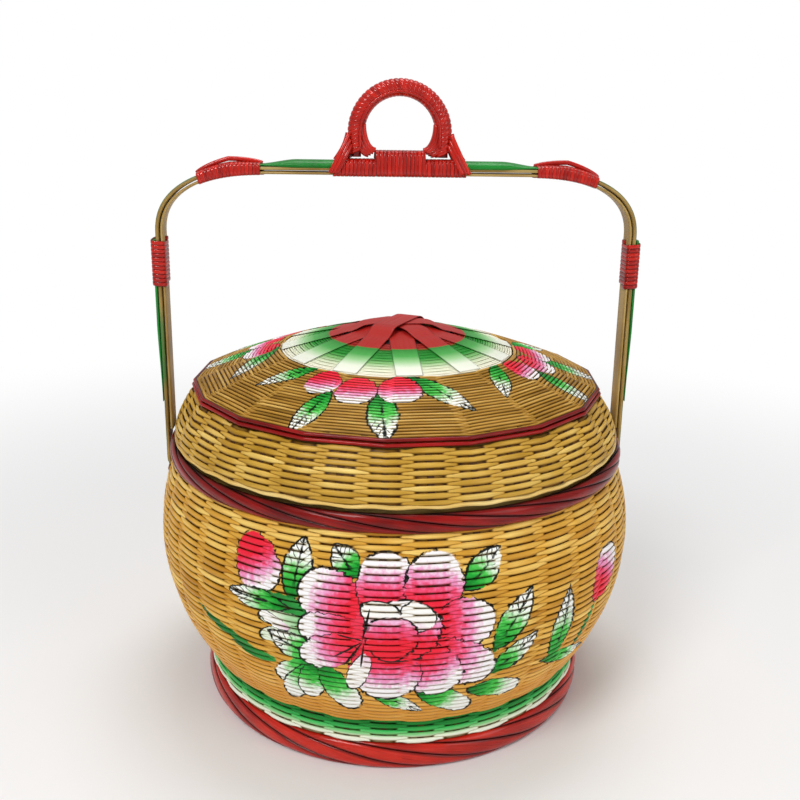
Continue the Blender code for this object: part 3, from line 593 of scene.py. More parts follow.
bowl = {  # flare and drawIn: the widest radius less the radius at the foot and at the top
    "low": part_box("bowl_wall")[0].z, "high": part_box("bowl_wall")[1].z, "widest": outerRadius("bowl_wall"),
    **metres(widestHeight=111, flare=25.0, drawIn=12.7, wall=3.5),
}


def bowlRadius(height):
    # one parabola below the widest line and one above it
    lower = (bowl["widestHeight"] - height) / (bowl["widestHeight"] - bowl["low"])
    upper = (height - bowl["widestHeight"]) / (bowl["high"] - bowl["widestHeight"])
    return bowl["widest"] - np.where(height < bowl["widestHeight"], bowl["flare"] * lower ** 2,
                                     bowl["drawIn"] * upper ** 2)


lid = {  # domeReach: the radius at which the dome's curve meets the shoulder's top
    "radius": outerRadius("lid_edge_hoop"), "sideLow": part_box("lid_side_weave")[0].z,
    "sideHigh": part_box("lid_side_weave")[1].z, "shoulderTop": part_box("lid_shoulder_strand_upper")[1].z,
    "domeRadius": outerRadius("dome_weave"), **metres(drawIn=11.8, domeReach=130.5, domeRise=34.4, crownRadius=75.0),
}


def lidSideRadius(height):
    # lower radius less the draw-in times (share of the height) ^ 1.5
    share = np.clip((height - lid["sideLow"]) / (lid["sideHigh"] - lid["sideLow"]), 0, 1)
    return lid["radius"] - lid["drawIn"] * share ** 1.5


def domeHeight(radius):
    # shoulder's top plus the rise times 1 - (radius / reach) ^ 1.5
    return lid["shoulderTop"] + lid["domeRise"] * (1 - (np.abs(radius) / lid["domeReach"]) ** 1.5)


def rowsOn(radius, height, pitch):
    # even steps along a turned outline: each row's radius, height and outward direction (dz, -dr)
    travel = np.concatenate([[0], np.cumsum(np.hypot(np.diff(radius), np.diff(height)))])
    count = int(travel[-1] / pitch)
    at = travel[-1] * (np.arange(count) + 0.5) / count
    radiusSlope, heightSlope = np.gradient(radius, travel), np.gradient(height, travel)
    outward = unit(np.stack([np.interp(at, travel, heightSlope), -np.interp(at, travel, radiusSlope)], -1))
    return np.interp(at, travel, radius), np.interp(at, travel, height), outward


panels = {"count": 18, "corner": -5.0}    # the dome's flat panels, and the azimuth of one corner between them


def panelShare(azimuth):
    # how far a polygon's side lies inside its corners' circle: cos(half) / cos(angle from the side's middle)
    step = 2 * math.pi / panels["count"]
    fromMiddle = np.mod(azimuth - panels["corner"] * deg, step) - step / 2
    return math.cos(step / 2) / np.cos(fromMiddle)


def weave(spec, rows, press=None, polygon=0.0, tight=0.0):
    # Rings that swing out and in past the stakes: c = cos(stakes / 2 * (azimuth - first stake) + pi * row), and the
    # swing is spec swing * (1.4c - 0.4c^3), or a sharpened tanh(c) where a run is long.
    # A row is low where it crosses its neighbours and tall over a stake. Tight rows leave no gap.
    radius, height, outward = rows
    count = len(radius)
    azimuth = spec["azimuths"]
    tight = np.reshape(tight, (-1, 1))
    wobble = 0.05 * np.sin(azimuth * chance.integers(2, 6, (count, 1)) + chance.uniform(0, 6, (count, 1)))
    c = np.cos(spec["columns"] / 2 * (azimuth - spec["first"] * deg) + math.pi * np.arange(count)[:, None] + wobble)
    if "sharp" in spec:
        w = np.tanh(spec["sharp"] * c) / math.tanh(spec["sharp"])
    else:
        w = 1.4 * c - 0.4 * c ** 3
    tall = smoothStep(0.1, 0.8, np.abs(w))
    uneven = 1 + 0.06 * np.sin(azimuth * chance.integers(5, 14, (count, 1)) + chance.uniform(0, 6, (count, 1)))
    front = spec["frontHeight"] * uneven * (1 + 0.2 * tight)
    halfTall = (spec["crossHeight"] + (front - spec["crossHeight"]) * tall) / 2
    inset = spec["inset"] - spec["swing"] * w * (1 - 0.35 * tight)
    shift = chance.normal(0, spec["jitter"], (count, 1)) * np.ones_like(azimuth)
    r = radius[:, None] - outward[:, :1] * inset - outward[:, 1:] * shift
    z = height[:, None] - outward[:, 1:] * inset + outward[:, :1] * shift
    r = r * (1 + np.reshape(polygon, (-1, 1)) * (panelShare(azimuth) - 1))
    if press is not None:
        r = press(r, z, azimuth)
    section = oval(spec["around"], 2.2)
    points = carry(turnedPoint(r, azimuth, z), turnedPoint(outward[:, :1], azimuth, outward[:, 1:]), halfTall,
                   spec["thickness"] / 2, section, True)
    # proud: how far forward a row lies, which the straw finishes turn into painted shade behind the crossings
    return points, {"proud": np.maximum(w[:, :, None], 1.6 * tight[..., None] - 1), "edge": section[:, 0],
                    "face": section[:, 1]}


def makeStakes(name, spec, rows, body, polygon=0.0):
    # flat uprights, 10 degrees apart, between the fronts and the backs of the rows
    radius, height, outward = rows
    r = radius - outward[:, 0] * spec["inset"]
    z = height - outward[:, 1] * spec["inset"]
    azimuths = ((np.arange(36) * 10 + spec["stakeFirst"]) * deg)[:, None]
    r = r[None] * (1 + polygon * (panelShare(azimuths) - 1))
    facing = turnedPoint(outward[None, :, 0], azimuths, outward[None, :, 1])
    points = carry(turnedPoint(r, azimuths, z[None]), facing, spec["stakeWidth"] / 2, spec["stakeThickness"] / 2,
                   oval(8, 4.0), False)
    # in the straw painted dark as shade
    makePiece(name, points, shadedStakeStraw, body, "straw_weave", closed=False)


# Handle's line, shared by its strips and windings

handle = {  # outer and inner: how thick the long strips are, from the line outwards and from the air inwards
    "width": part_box("bar_cap_strip")[1].y * 2, "rimTop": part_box("rim_plait")[1].z,
    "legEnd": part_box("handle_outer_strip")[0].z, "cornerPower": 2.4,
    **metres(outer=2.6, air=0.6, inner=1.8, cornerReach=66.9, cornerDrop=39.4, armTop=146.9, armFoot=147.8,
             slotTop=151, slotTurn=14, legGap=0.9, gap=0.3, barLine=335.4),
}


def legRadius(height):
    # inner face of the leg: outside the rim, then a smooth step through the wall, then along its inside
    inside = bowlRadius(height) - bowl["wall"] - handle["legGap"] - handle["outer"]
    low = handle["slotTop"] - handle["slotTurn"]
    return inside + (handle["armFoot"] - inside) * smoothStep(low, handle["slotTop"], height)


def handleLine():
    # middle of the bar, superellipse corner, straight arm, then the leg; mirrored to both sides
    corner = handle["armTop"] - handle["cornerReach"]
    cornerZ = handle["barLine"] - handle["cornerDrop"]
    a = np.linspace(math.pi / 2, 0, 129) - 1e-9
    power = 2 / handle["cornerPower"]
    cornerX = corner + handle["cornerReach"] * np.abs(np.cos(a)) ** power
    cornerY = cornerZ + handle["cornerDrop"] * np.abs(np.sin(a)) ** power
    legZ = np.linspace(handle["slotTop"], handle["legEnd"], 90)
    x = np.concatenate([np.linspace(0, corner, 40)[:-1], cornerX,
                        np.linspace(handle["armTop"], handle["armFoot"], 60)[1:-1], legRadius(legZ)])
    z = np.concatenate([np.full(39, handle["barLine"]), cornerY,
                        np.linspace(cornerZ, handle["slotTop"], 60)[1:-1], legZ])
    travel = np.concatenate([[0], np.cumsum(np.hypot(np.diff(x), np.diff(z)))])
    even = np.linspace(0, travel[-1], 900)
    return even, np.interp(even, travel, x), np.interp(even, travel, z)


lineTravel, lineX, lineZ = handleLine()
lineSlopeX, lineSlopeZ = np.gradient(lineX, lineTravel), np.gradient(lineZ, lineTravel)


def handleAt(travel):
    # point and outward direction at signed ways along the handle, 0 in the middle of the bar
    side = np.where(travel < 0, -1.0, 1.0)
    x, z, slopeX, slopeZ = (np.interp(np.abs(travel), lineTravel, part)
                            for part in (lineX, lineZ, lineSlopeX, lineSlopeZ))
    zero = np.zeros_like(x)
    return np.stack([side * x, zero, z], -1), unit(np.stack([-side * slopeZ, zero, slopeX], -1))


def travelAtHeight(height):
    falling = lineZ < handle["barLine"] - 1e-6
    return float(np.interp(-height, -lineZ[falling], lineTravel[falling]))


def stripAlong(travel, low, high, halfWidth, section):
    # a strip between two distances from the handle's line
    point, outward = handleAt(travel)
    path = point + outward * ((low + high) / 2)[:, None]
    return carry(path[None], outward[None], halfWidth, ((high - low) / 2)[None], section, False)


# Bowl

wallWeave = {"columns": 36, "first": 5, "azimuths": fullCircle(432), "around": 8, "stakeFirst": 5,
             **metres(stakeWidth=4, stakeThickness=0.3)}
bowlWeave = {**wallWeave, **metres(pitch=2.0, frontHeight=3.4, crossHeight=2.1, thickness=1.35, swing=0.9, inset=1.62,
                                   jitter=0.10, stakeWidth=4.2, stakeThickness=0.4, tightBelow=40, looseAbove=64)}
legRoom = metres(clear=0.25, wholly=0.6, fades=13)    # past a leg's faces and edges


def pressPastLegs(radius, height, azimuth):
    # rows give way where a leg passes through the wall: inwards above the slot's middle, outwards below it
    clear = bowlWeave["thickness"] / 2 + legRoom["clear"]
    leg = legRadius(height)
    outside = leg + handle["outer"] / 2 > bowlRadius(height) - bowlWeave["inset"]
    wanted = np.where(outside, np.minimum(radius, leg - clear), np.maximum(radius, leg + handle["outer"] + clear))
    across = np.abs(np.abs(azimuth) - math.pi / 2) * bowl["widest"]
    half = handle["width"] / 2
    share = 1 - smoothStep(half + legRoom["wholly"], half + legRoom["fades"], across)
    return radius + (wanted - radius) * share


def makeBowl():
    heights = np.linspace(bowl["low"], bowl["high"], 400)
    rows = rowsOn(bowlRadius(heights), heights, bowlWeave["pitch"])
    tight = 1 - smoothStep(bowlWeave["tightBelow"], bowlWeave["looseAbove"], rows[1])
    points, marks = weave(bowlWeave, rows, pressPastLegs, tight=tight)
    third = len(points) // 3
    proud = marks.pop("proud")
    for index, word in enumerate(("lower", "middle", "upper")):
        part = slice(index * third, (index + 1) * third if index < 2 else None)
        makePiece(f"bowl_weave_{word}", points[part], bowlStraw, "basket", "straw_weave", ["bowl_wall"],
                  proud=proud[part], **marks)
    makeStakes("bowl_stakes", bowlWeave, rows, "basket")


makeBowl()
print("bowl woven")


# Foot

foot = {"low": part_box("foot_skirt")[0].z, "high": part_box("foot_skirt")[1].z, "radius": outerRadius("foot_skirt"),
        "above": 0.9 * mm}    # its top row stands up behind the bowl's lowest one
skirtWeave = {**wallWeave, **metres(pitch=1.95, frontHeight=3.2, crossHeight=1.95, thickness=1.1, swing=0.55,
                                    inset=1.25, jitter=0.06)}


def borderRope(spec, section):
    # Flat strands bent round a rope and wound together, as one unbroken line. The rope's section is
    # radius = middle + depth cos(angle), height = middle + rise sin(angle), squared a little, and a strand's angle
    # turns by turns / strands for each turn round the basket. Its width is its share of the angle, and its
    # thickness stands out along the ellipse's normal (cos(angle) / depth, sin(angle) / rise).
    way = np.arange(plait["samples"] * plait["strands"]) / plait["samples"] * 2 * math.pi
    middle = -way * spec["turns"] / plait["strands"]
    angle = middle[:, None] + section[:, 0] * math.pi / plait["strands"] * plait["cover"]
    cosine, sine = np.cos(angle), np.sin(angle)
    power = 2 / spec["squareness"]
    normal = unit(np.stack([cosine / spec["depth"], sine / spec["rise"]], -1))
    off = section[:, 1] * spec["thickness"] / 2
    r = spec["radius"] + spec["depth"] * signedPower(cosine, power) + off * normal[..., 0]
    z = spec["height"] + spec["rise"] * signedPower(sine, power) + off * normal[..., 1]
    return turnedPoint(r, way[:, None], np.maximum(z, 0.0))[None]


def makeBorder(name, spec, finish, stands):
    section = oval(16, 2.6)
    points = borderRope(spec, section)
    deep = 0.0
    if "shadow" in spec:
        # painted shadow of the lid's edge in the crevice under it: high on the border and on its inner half
        above, out = points[..., 2] - spec["height"], np.hypot(points[..., 0], points[..., 1]) - spec["radius"]
        deep = smoothStep(spec["shadow"], spec["rise"], above) * (1 - smoothStep(0.0, spec["depth"], out))
    makePiece(name, points, finish, "basket", "red_plait", stands, edge=section[:, 0], deep=deep)
    # a core inside the strands, in the near-black painted shade
    shrink = spec["thickness"] * plait["sink"]
    core = turnedBand(spec["radius"], fullCircle(288), spec["height"], spec["rise"] - shrink, spec["depth"] - shrink,
                      oval(16))
    makePiece(name + "_core", core, plaitCoreShade, "basket", "red_plait")


plait = {"strands": 5, "samples": 432, "cover": 0.97, "sink": 0.3}    # shares of a strand's room and thickness
footPlait = {"turns": 17, "squareness": 2.2, **metres(radius=124.7, height=8.3, depth=2.5, rise=7.2, thickness=2.2)}
rimPlait = {"turns": 23, "squareness": 2.1, **metres(radius=143.0, height=164.4, depth=2.4, rise=4.7, thickness=2.0,
                                                     shadow=1.2)}


def makeHoop(name, node, body):
    # a flat hoop with rounded edges, as the solid it stands for
    low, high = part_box(node)
    thickness = 1.8 * mm
    points = turnedBand(outerRadius(node) - thickness / 2, fullCircle(288), (low.z + high.z) / 2,
                        (high.z - low.z) / 2, thickness / 2, oval(12, 5.0))
    makePiece(name, points, bareBamboo, body, "bare_bamboo", [node])


def makeFoot():
    heights = np.linspace(foot["low"], foot["high"] + foot["above"], 50)
    rows = rowsOn(np.full(50, foot["radius"]), heights, skirtWeave["pitch"])
    points, marks = weave(skirtWeave, rows)
    makePiece("foot_skirt_weave", points, skirtPaint, "basket", "painted_weave", ["foot_skirt"], **marks)
    makeStakes("foot_stakes", skirtWeave, rows, "basket")
    makeBorder("foot_border", footPlait, footRed, ["foot_plait"])
    makeHoop("foot_hoop", "foot_inner_hoop", "basket")
    makeBorder("rim_border", rimPlait, shadedPlaitRed, ["rim_plait"])
    makeHoop("rim_hoop", "rim_inner_hoop", "basket")


makeFoot()
print("foot and rim plaited")


# Floor

up = np.array([0, 0, 1.0])
floorMat = {"turn": 45, **metres(pitch=8.6, width=8.2, thickness=0.8, swing=0.45, past=0.8, trim=0.4)}


def makeFloor():
    # Strips in two directions that pass over and under each other: height = middle +- swing cos(pi * way / pitch).
    # Their ends go in between the bowl's rows.
    low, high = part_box("bowl_floor")
    radius = high.x + floorMat["past"]
    count = int(radius / floorMat["pitch"])
    offsets = np.arange(-count, count + 1) * floorMat["pitch"]
    farEdge = (np.abs(offsets) + floorMat["width"] / 2 - floorMat["trim"]).clip(0, radius - mm)
    half = np.sqrt(radius ** 2 - farEdge ** 2)
    way = np.linspace(-1, 1, 161)[None] * half[:, None]
    order = np.arange(len(offsets))[:, None]
    for index, name in enumerate(("floor_mat_warp", "floor_mat_weft")):
        turn = (floorMat["turn"] + 90 * index) * deg
        lift = floorMat["swing"] * np.cos(math.pi * way / floorMat["pitch"] + math.pi * (order + index))
        along = np.array([math.cos(turn), math.sin(turn), 0])
        aside = np.array([-math.sin(turn), math.cos(turn), 0])
        path = way[..., None] * along + offsets[:, None, None] * aside + ((low.z + high.z) / 2 + lift)[..., None] * up
        points = carry(path, up, floorMat["width"] / 2, floorMat["thickness"] / 2, oval(6, 4.0), False)
        makePiece(name, points, bareBamboo, "basket", "straw_weave", ["bowl_floor"], closed=False)


def makeSlats():
    for name in ("floor_slat_upper", "floor_slat_lower"):
        low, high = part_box(name)
        axis = 0 if high.x > high.y else 1
        path = np.zeros((1, 40, 3))
        path[..., axis] = np.linspace(-high[axis], high[axis], 40)
        path[..., 2] = (low.z + high.z) / 2
        points = carry(path, up, high[1 - axis], (high.z - low.z) / 2, oval(12, 6.0), False)
        makePiece(name + "_strip", points, bareBamboo, "basket", "bare_bamboo", [name], closed=False)


makeFloor()
makeSlats()
print("floor laid")


# Lid

sideWeave = {**wallWeave, **metres(pitch=1.95, frontHeight=3.1, crossHeight=1.95, thickness=1.15, swing=0.72,
                                   inset=1.32, jitter=0.08)}
inPanel = np.array([0, 0.03, 0.06, 0.1, 0.15, 0.22, 0.33, 0.5, 0.67, 0.78, 0.85, 0.9, 0.94, 0.97])
domeWeave = {**wallWeave, "columns": 18, "sharp": 3.2, "stakeFirst": panels["corner"] + 5,
             "azimuths": ((np.arange(-9, 9)[:, None] + inPanel) * 20 + panels["corner"]).reshape(-1) * deg,
             **metres(pitch=1.3, frontHeight=2.05, crossHeight=1.4, thickness=1.25, swing=0.5, inset=1.05, jitter=0.05,
                      stakeWidth=4.8)}
lidEdge = metres(inset=1.55, drop=1.3, halfHeight=1.2, halfDepth=1.5)


def makeLidSide():
    # its edge waves: 0.35 sin(36 azimuth) + 0.25 sin(7 azimuth + 1) mm
    way = fullCircle(576)
    wave = mm * (0.35 * np.sin(36 * way) + 0.25 * np.sin(7 * way + 1))
    hoop = turnedBand(lid["radius"] - lidEdge["inset"], way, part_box("lid_edge_hoop")[1].z - lidEdge["drop"] + wave,
                      lidEdge["halfHeight"], lidEdge["halfDepth"], oval(12, 2.3))
    makePiece("lid_edge", hoop, edgeStraw, "lid", "straw_weave", ["lid_edge_hoop"], proud=1.0, face=1.0)
    heights = np.linspace(lid["sideLow"], lid["sideHigh"], 200)
    rows = rowsOn(lidSideRadius(heights), heights, sideWeave["pitch"])
    flatness = smoothStep(0.2, 1.0, (rows[1] - lid["sideLow"]) / (lid["sideHigh"] - lid["sideLow"]))
    points, marks = weave(sideWeave, rows, polygon=flatness)
    makePiece("lid_side", points, sideStraw, "lid", "straw_weave", ["lid_side_weave"], **marks)
    makeStakes("lid_side_stakes", sideWeave, rows, "lid", flatness)


shoulder = {"lean": 0.35, **metres(rise=1.25, depth=2.0)}


def makeShoulder():
    # two smooth strands, one over the other
    way = fullCircle(720)
    section = oval(12, 2.2)
    # the upper strand takes the red lacquer that is painted darker as shade
    for word, finish in (("upper", shadedPlaitRed), ("lower", shoulderRed)):
        node = "lid_shoulder_strand_" + word
        low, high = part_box(node)
        points = turnedBand((outerRadius(node) - shoulder["depth"]) * panelShare(way), way, (low.z + high.z) / 2,
                            shoulder["rise"], shoulder["depth"], section, shoulder["lean"])
        makePiece("lid_shoulder_" + word, points, finish, "lid", "red_plait", [node], edge=section[:, 0])


# how flat the panels are at the crown and at the shoulder, and the radius over which that changes
dome = {"flatAtCrown": 0.3, "flatOutside": 0.7, **metres(past=1.8, short=0.6, change=30)}


def makeDome():
    radii = np.linspace(lid["domeRadius"] + dome["past"], lid["crownRadius"] + dome["short"], 300)
    rows = rowsOn(radii, domeHeight(radii), domeWeave["pitch"])
    outside = smoothStep(lid["crownRadius"], lid["crownRadius"] + dome["change"], rows[0])
    flatness = dome["flatAtCrown"] + dome["flatOutside"] * outside
    points, marks = weave(domeWeave, rows, polygon=flatness)
    marks["proud"][:2] = marks["proud"][-1:] = 1.0
    makePiece("dome_rows", points, domeStraw, "lid", "straw_weave", ["dome_weave"], **marks)
    makeStakes("dome_stakes", domeWeave, rows, "lid", flatness)
    makeHoop("lid_hoop", "lid_inner_hoop", "lid")


crownWeave = {**wallWeave, "columns": 24, "first": 3, "around": 6, "edge": 0.65,
              **metres(pitch=1.62, frontHeight=1.6, crossHeight=1.55, thickness=0.8, swing=0.12, inset=0.55,
                       jitter=0.05, short=0.3, hole=30)}
splint = {"count": 6, "turn": 3, **metres(width=16, thickness=0.5, reach=73.8, gap=0.3, flatRadius=20)}


def splintLift(distance, index):
    # odd splints cross over even ones, and near the middle all six are stacked
    odd, rank = index % 2, index // 2
    beside = splint["width"] / (2 * math.sin(math.pi / splint["count"] / 2))
    beyond = splint["width"] / (2 * math.sin(math.pi / splint["count"]))
    start = beyond * (1.05, 1.25)[odd]
    stacked = 1 - smoothStep(start, start + (beside - beyond) * 0.7, distance)
    crossing = 1 - smoothStep(beside * 1.05, beside * 1.45, distance)
    return (splint["thickness"] + splint["gap"]) * (odd * crossing + (rank + 2 * odd) * stacked)


def makeCrown():
    drop = splint["thickness"] + splint["gap"]
    radii = np.linspace(lid["crownRadius"] - crownWeave["short"], crownWeave["hole"], 200)
    rows = rowsOn(radii, domeHeight(radii) - drop, crownWeave["pitch"])
    points, marks = weave(crownWeave, rows, polygon=dome["flatAtCrown"])
    # the crown's wefts take 0.65 of the painted edge shade, and none of the painted sunk shade
    marks["proud"], marks["edge"] = 1.0, crownWeave["edge"] * marks["edge"]
    makePiece("crown_wefts", points, crownPaint, "lid", "painted_weave", ["crown_weave"], **marks)
    way = np.linspace(-splint["reach"], splint["reach"], 121)
    distance = np.abs(way)
    edgeShade = np.sqrt(distance ** 2 + splint["flatRadius"] ** 2 * 0.35)
    section = oval(12, 6.0)
    for index in range(splint["count"]):
        angle = math.pi * index / splint["count"] + math.pi / 2 + splint["turn"] * deg
        along = np.array([math.cos(angle), math.sin(angle), 0])
        lift = splintLift(distance, index)
        top = np.minimum(domeHeight(np.maximum(edgeShade, splint["flatRadius"] * 0.6)) + lift,
                         domeHeight(np.maximum(distance, splint["flatRadius"])) + lift)
        path = way[:, None] * along + (top - splint["thickness"] / 2)[:, None] * up
        points = carry(path[None], up, splint["width"] / 2, splint["thickness"] / 2, section, False)
        makePiece(f"crown_ray_{index + 1}", points, splintPaint, "lid", "painted_splint",
                  [f"crown_splint_{index + 1}"], closed=False, edge=section[:, 0])


makeLidSide()
makeShoulder()
makeDome()
makeCrown()
print("lid woven")


# Handle

capLow = handle["outer"] + handle["gap"]
# the bar's cap hangs over the strip beneath it and stands out past it; the left arm's cap ends under its winding
barCap = metres(thickness=3.6, tip=0.8, full=62, thin=86, reach=112, hang=1.1, over=0.25)
armCap = metres(thickness=2.3, tip=0.6, low=189.7, full=240.7, high=294.7, leftLower=2)


def barCapShare(travel):
    return smoothStep(barCap["full"], barCap["thin"], np.abs(travel))


def barCapHigh(travel):
    return capLow + barCap["thickness"] + (barCap["tip"] - barCap["thickness"]) * barCapShare(travel)


def makeStrip(name, node, travel, low, high, halfWidth, section, finish, slot, **marks):
    points = stripAlong(travel, low, high, halfWidth, section)
    makePiece(name, points, finish, "basket", slot, [node], closed=False, **marks)


def makeStrips():
    half = handle["width"] / 2
    section, bark = oval(16, 5.0), barkSection(13)
    travel = np.linspace(-lineTravel[-1], lineTravel[-1], 901)
    flat = np.zeros_like(travel)
    makeStrip("handle_outer", "handle_outer_strip", travel, flat, flat + handle["outer"], half, section, barkBamboo,
              "bare_bamboo", face=section[:, 1])
    end = travelAtHeight(handle["rimTop"] + handle["gap"])
    travel = np.linspace(-end, end, 701)
    flat = np.zeros_like(travel)
    makeStrip("handle_inner", "handle_inner_strip", travel, flat - handle["air"] - handle["inner"],
              flat - handle["air"], half, section, bareBamboo, "bare_bamboo")
    travel = np.linspace(-barCap["reach"], barCap["reach"], 301)
    makeStrip("bar_cap", "bar_cap_strip", travel, capLow - barCap["hang"] * (1 - barCapShare(travel)),
              barCapHigh(travel), half + barCap["over"], bark, greenBamboo, "green_bamboo")
    tip, full = (travelAtHeight(armCap[key]) for key in ("low", "full"))
    for word, side in (("left", -1), ("right", 1)):
        travel = np.linspace(travelAtHeight(armCap["high"] - (side < 0) * armCap["leftLower"]), tip, 120)
        high = capLow + armCap["thickness"] + (armCap["tip"] - armCap["thickness"]) * smoothStep(full, tip, travel)
        makeStrip(f"{word}_arm_cap", f"{word}_arm_cap_strip", side * travel, np.full_like(travel, capLow), high, half,
                  bark, greenBamboo, "green_bamboo")


strand = {"samples": 32, "below": 6.0, "above": 3.4, **metres(width=2.7, thickness=0.9, gap=0.1)}
aside = np.array([0, 1.0, 0])


def windingPath(start, length, turns, side, high, thickness):
    # A strand round the handle's bundle. Its place in the section is (half width * cos, half height * sin) with
    # powers that square it below and less above, and it moves on evenly along the handle.
    low = -handle["air"] - handle["inner"]
    share = np.linspace(0, 1, turns * strand["samples"] + 1)
    high = high(share) if callable(high) else high
    angle = 2 * math.pi * turns * share - math.pi / 2
    off = strand["gap"] + thickness / 2
    cosine, sine = np.cos(angle), np.sin(angle)
    power = 2 / np.where(sine < 0, strand["below"], strand["above"])
    y = signedPower(cosine, power) * (handle["width"] / 2 + off)
    rise = (high + low) / 2 + signedPower(sine, power) * ((high - low) / 2 + off)
    point, outward = handleAt(side * (start + length * share))
    path = point + rise[:, None] * outward + y[:, None] * aside
    return path, unit(signedPower(sine, 3)[:, None] * outward + signedPower(cosine, 3)[:, None] * aside)


def makeWinding(name, node, start, length, turns, side, high, thickness=strand["thickness"]):
    path, facing = windingPath(start, length, turns, side, high, thickness)
    section = oval(8, 2.4)
    points = carry(path[None], facing[None], strand["width"] / 2, thickness / 2, section, False)
    makePiece(name, points, ringRed, "basket", "red_winding", [node], closed=False, edge=section[:, 0])


def makeRound(name, path, radius, stands=()):
    # a round strand of the handle, bent in a plane or nearly so
    facing = np.cross(unit(np.gradient(path, axis=0)), aside)
    points = carry(path[None], facing[None], radius, radius, oval(8), False)
    makePiece(name, points, ringRed, "basket", "red_winding", stands, closed=False)


wraps = metres(armAbove=122.5, armLength=28, shoulderPast=4, shoulderLength=38, shoulderThickness=0.6, tent=1.5,
               ridge=4.0, ridgeRadius=1.5, ridgePast=0.5, saddleStart=13.6, saddleLength=26.0, footHalf=15.0)


def tentOf(share):
    # rises from both ends to a ridge in the middle
    return (1 - np.abs(2 * share - 1)) ** 0.9


def makeWindings():
    armStart = travelAtHeight(handle["rimTop"] + wraps["armAbove"])
    start, length = handle["armTop"] - handle["cornerReach"] + wraps["shoulderPast"], wraps["shoulderLength"]
    for word, side in (("left", -1), ("right", 1)):
        makeWinding(f"{word}_arm_wrap", f"{word}_arm_winding", armStart, wraps["armLength"], 11, side,
                    capLow + armCap["thickness"])
        makeWinding(f"{word}_shoulder_wrap", f"{word}_shoulder_winding", start, length, 17, side,
                    lambda share: barCapHigh(start + length * share) + wraps["tent"] * tentOf(share),
                    wraps["shoulderThickness"])
        makeWinding(f"{word}_saddle_wrap", f"{word}_saddle_winding", wraps["saddleStart"], wraps["saddleLength"], 11,
                    side, capLow + barCap["thickness"])
        # the raised strand lies on the turns, from one end of them to the other
        share = np.linspace(0, 1, 49)
        travel = start - wraps["ridgePast"] + (length + 2 * wraps["ridgePast"]) * share
        point, outward = handleAt(side * travel)
        above = barCapHigh(travel) + wraps["ridge"] * tentOf(share) ** 0.75
        makeRound(f"{word}_shoulder_ridge", point + outward * above[:, None], wraps["ridgeRadius"],
                  [f"{word}_shoulder_strand"])
    makeWinding("ring_foot_lashing", "ring_lashing", -wraps["footHalf"], 2 * wraps["footHalf"], 13, 1,
                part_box("ring_pad")[1].z - handle["barLine"])


makeStrips()
makeWindings()
print("handle bound")


# Grip ring

ring = {"foot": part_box("grip_ring_core")[0].z, "turns": 40, "ridgeIn": -0.42, "ridgeAside": 0.91,
        **metres(radius=26.5, core=3.0, strandWidth=3.4, strandThickness=1.7, air=0.6, ridge=0.8, slant=2.4, spare=0.2,
                 ridgeStart=6)}
ring["centre"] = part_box("grip_ring_core")[1].z - ring["core"] - ring["radius"]
ring["length"] = 2 * (ring["centre"] - ring["foot"]) + math.pi * ring["radius"]


def ringAt(travel):
    # up the left leg, over the arch and down the right leg: point and outward direction
    leg = ring["centre"] - ring["foot"]
    arch = math.pi * ring["radius"]
    angle = math.pi - np.clip(travel - leg, 0, arch) / ring["radius"]
    outward = np.stack([np.cos(angle), 0 * angle, np.sin(angle)], -1)
    below = np.maximum(leg - travel, 0) + np.maximum(travel - leg - arch, 0)
    middle = np.stack([0 * below, 0 * below, ring["centre"] - below], -1)
    return middle + ring["radius"] * outward, outward


def makeRing():
    # each turn slants: its inner end lies ahead of its outer end
    share = np.linspace(0, 1, ring["turns"] * 28 + 1)
    angle = 2 * math.pi * ring["turns"] * share
    margin = ring["slant"] + ring["spare"]
    point, outward = ringAt(margin + (ring["length"] - 2 * margin) * share - ring["slant"] * np.cos(angle))
    facing = np.cos(angle)[:, None] * outward + np.sin(angle)[:, None] * aside
    away = ring["core"] + ring["air"] + ring["strandThickness"] / 2
    points = carry((point + away * facing)[None], facing[None], ring["strandWidth"] / 2,
                   ring["strandThickness"] / 2, oval(8, 2.3), False)
    makePiece("ring_wrap", points, ringRed, "basket", "red_winding", ["grip_ring_winding"], closed=False)
    # a knotted ridge along each face
    reach = np.linspace(ring["ridgeStart"], ring["length"] - ring["ridgeStart"], 240)
    point, outward = ringAt(reach)
    over = away + ring["strandThickness"] / 2 + ring["ridge"] * 0.4
    knots = 1 + 0.25 * np.abs(np.sin(reach / ring["length"] * ring["turns"] * math.pi))
    for word, face in faces:
        facing = unit(ring["ridgeIn"] * outward + face * ring["ridgeAside"] * aside)
        points = carry((point + over * facing)[None], facing[None], ring["ridge"], ring["ridge"] * knots[None],
                       oval(8), False)
        makePiece(f"ring_ridge_{word}", points, ringRed, "basket", "red_winding", closed=False)


faces = (("front", -1), ("back", 1))
feet = {  # millimetres from the ring's middle and foot: x, y, z
    "middle": ((39.2, 31.4, 14.0), (37.2, 31.2, 10.0), (35.2, 31.0, 5.5)),    # x below, x above, height above
    "middleBow": 1.2, "middleSink": 2.0, "middleRadius": 1.7 * mm,
    "slopeFrom": np.array([42.2, 8.4, -9.4]), "slopeFromStep": np.array([-2.0, 0, 0]),
    "slopeTo": np.array([31.2, 4.4, 13.0]), "slopeToStep": np.array([-0.8, 0, -3.0]),
    "slopeBow": np.array([-1.0, 1.2, 1.5]), "slopeRadius": 1.4 * mm,
    "knees": 4, "kneeX": 14.6, "kneeXStep": 1.5, "kneeWide": 7.4, "kneeY": 2.6, "kneeZ": 19.3, "kneeTall": 15.2,
    "kneeZStep": 0.9, "kneeRadius": 1.6 * mm,
}


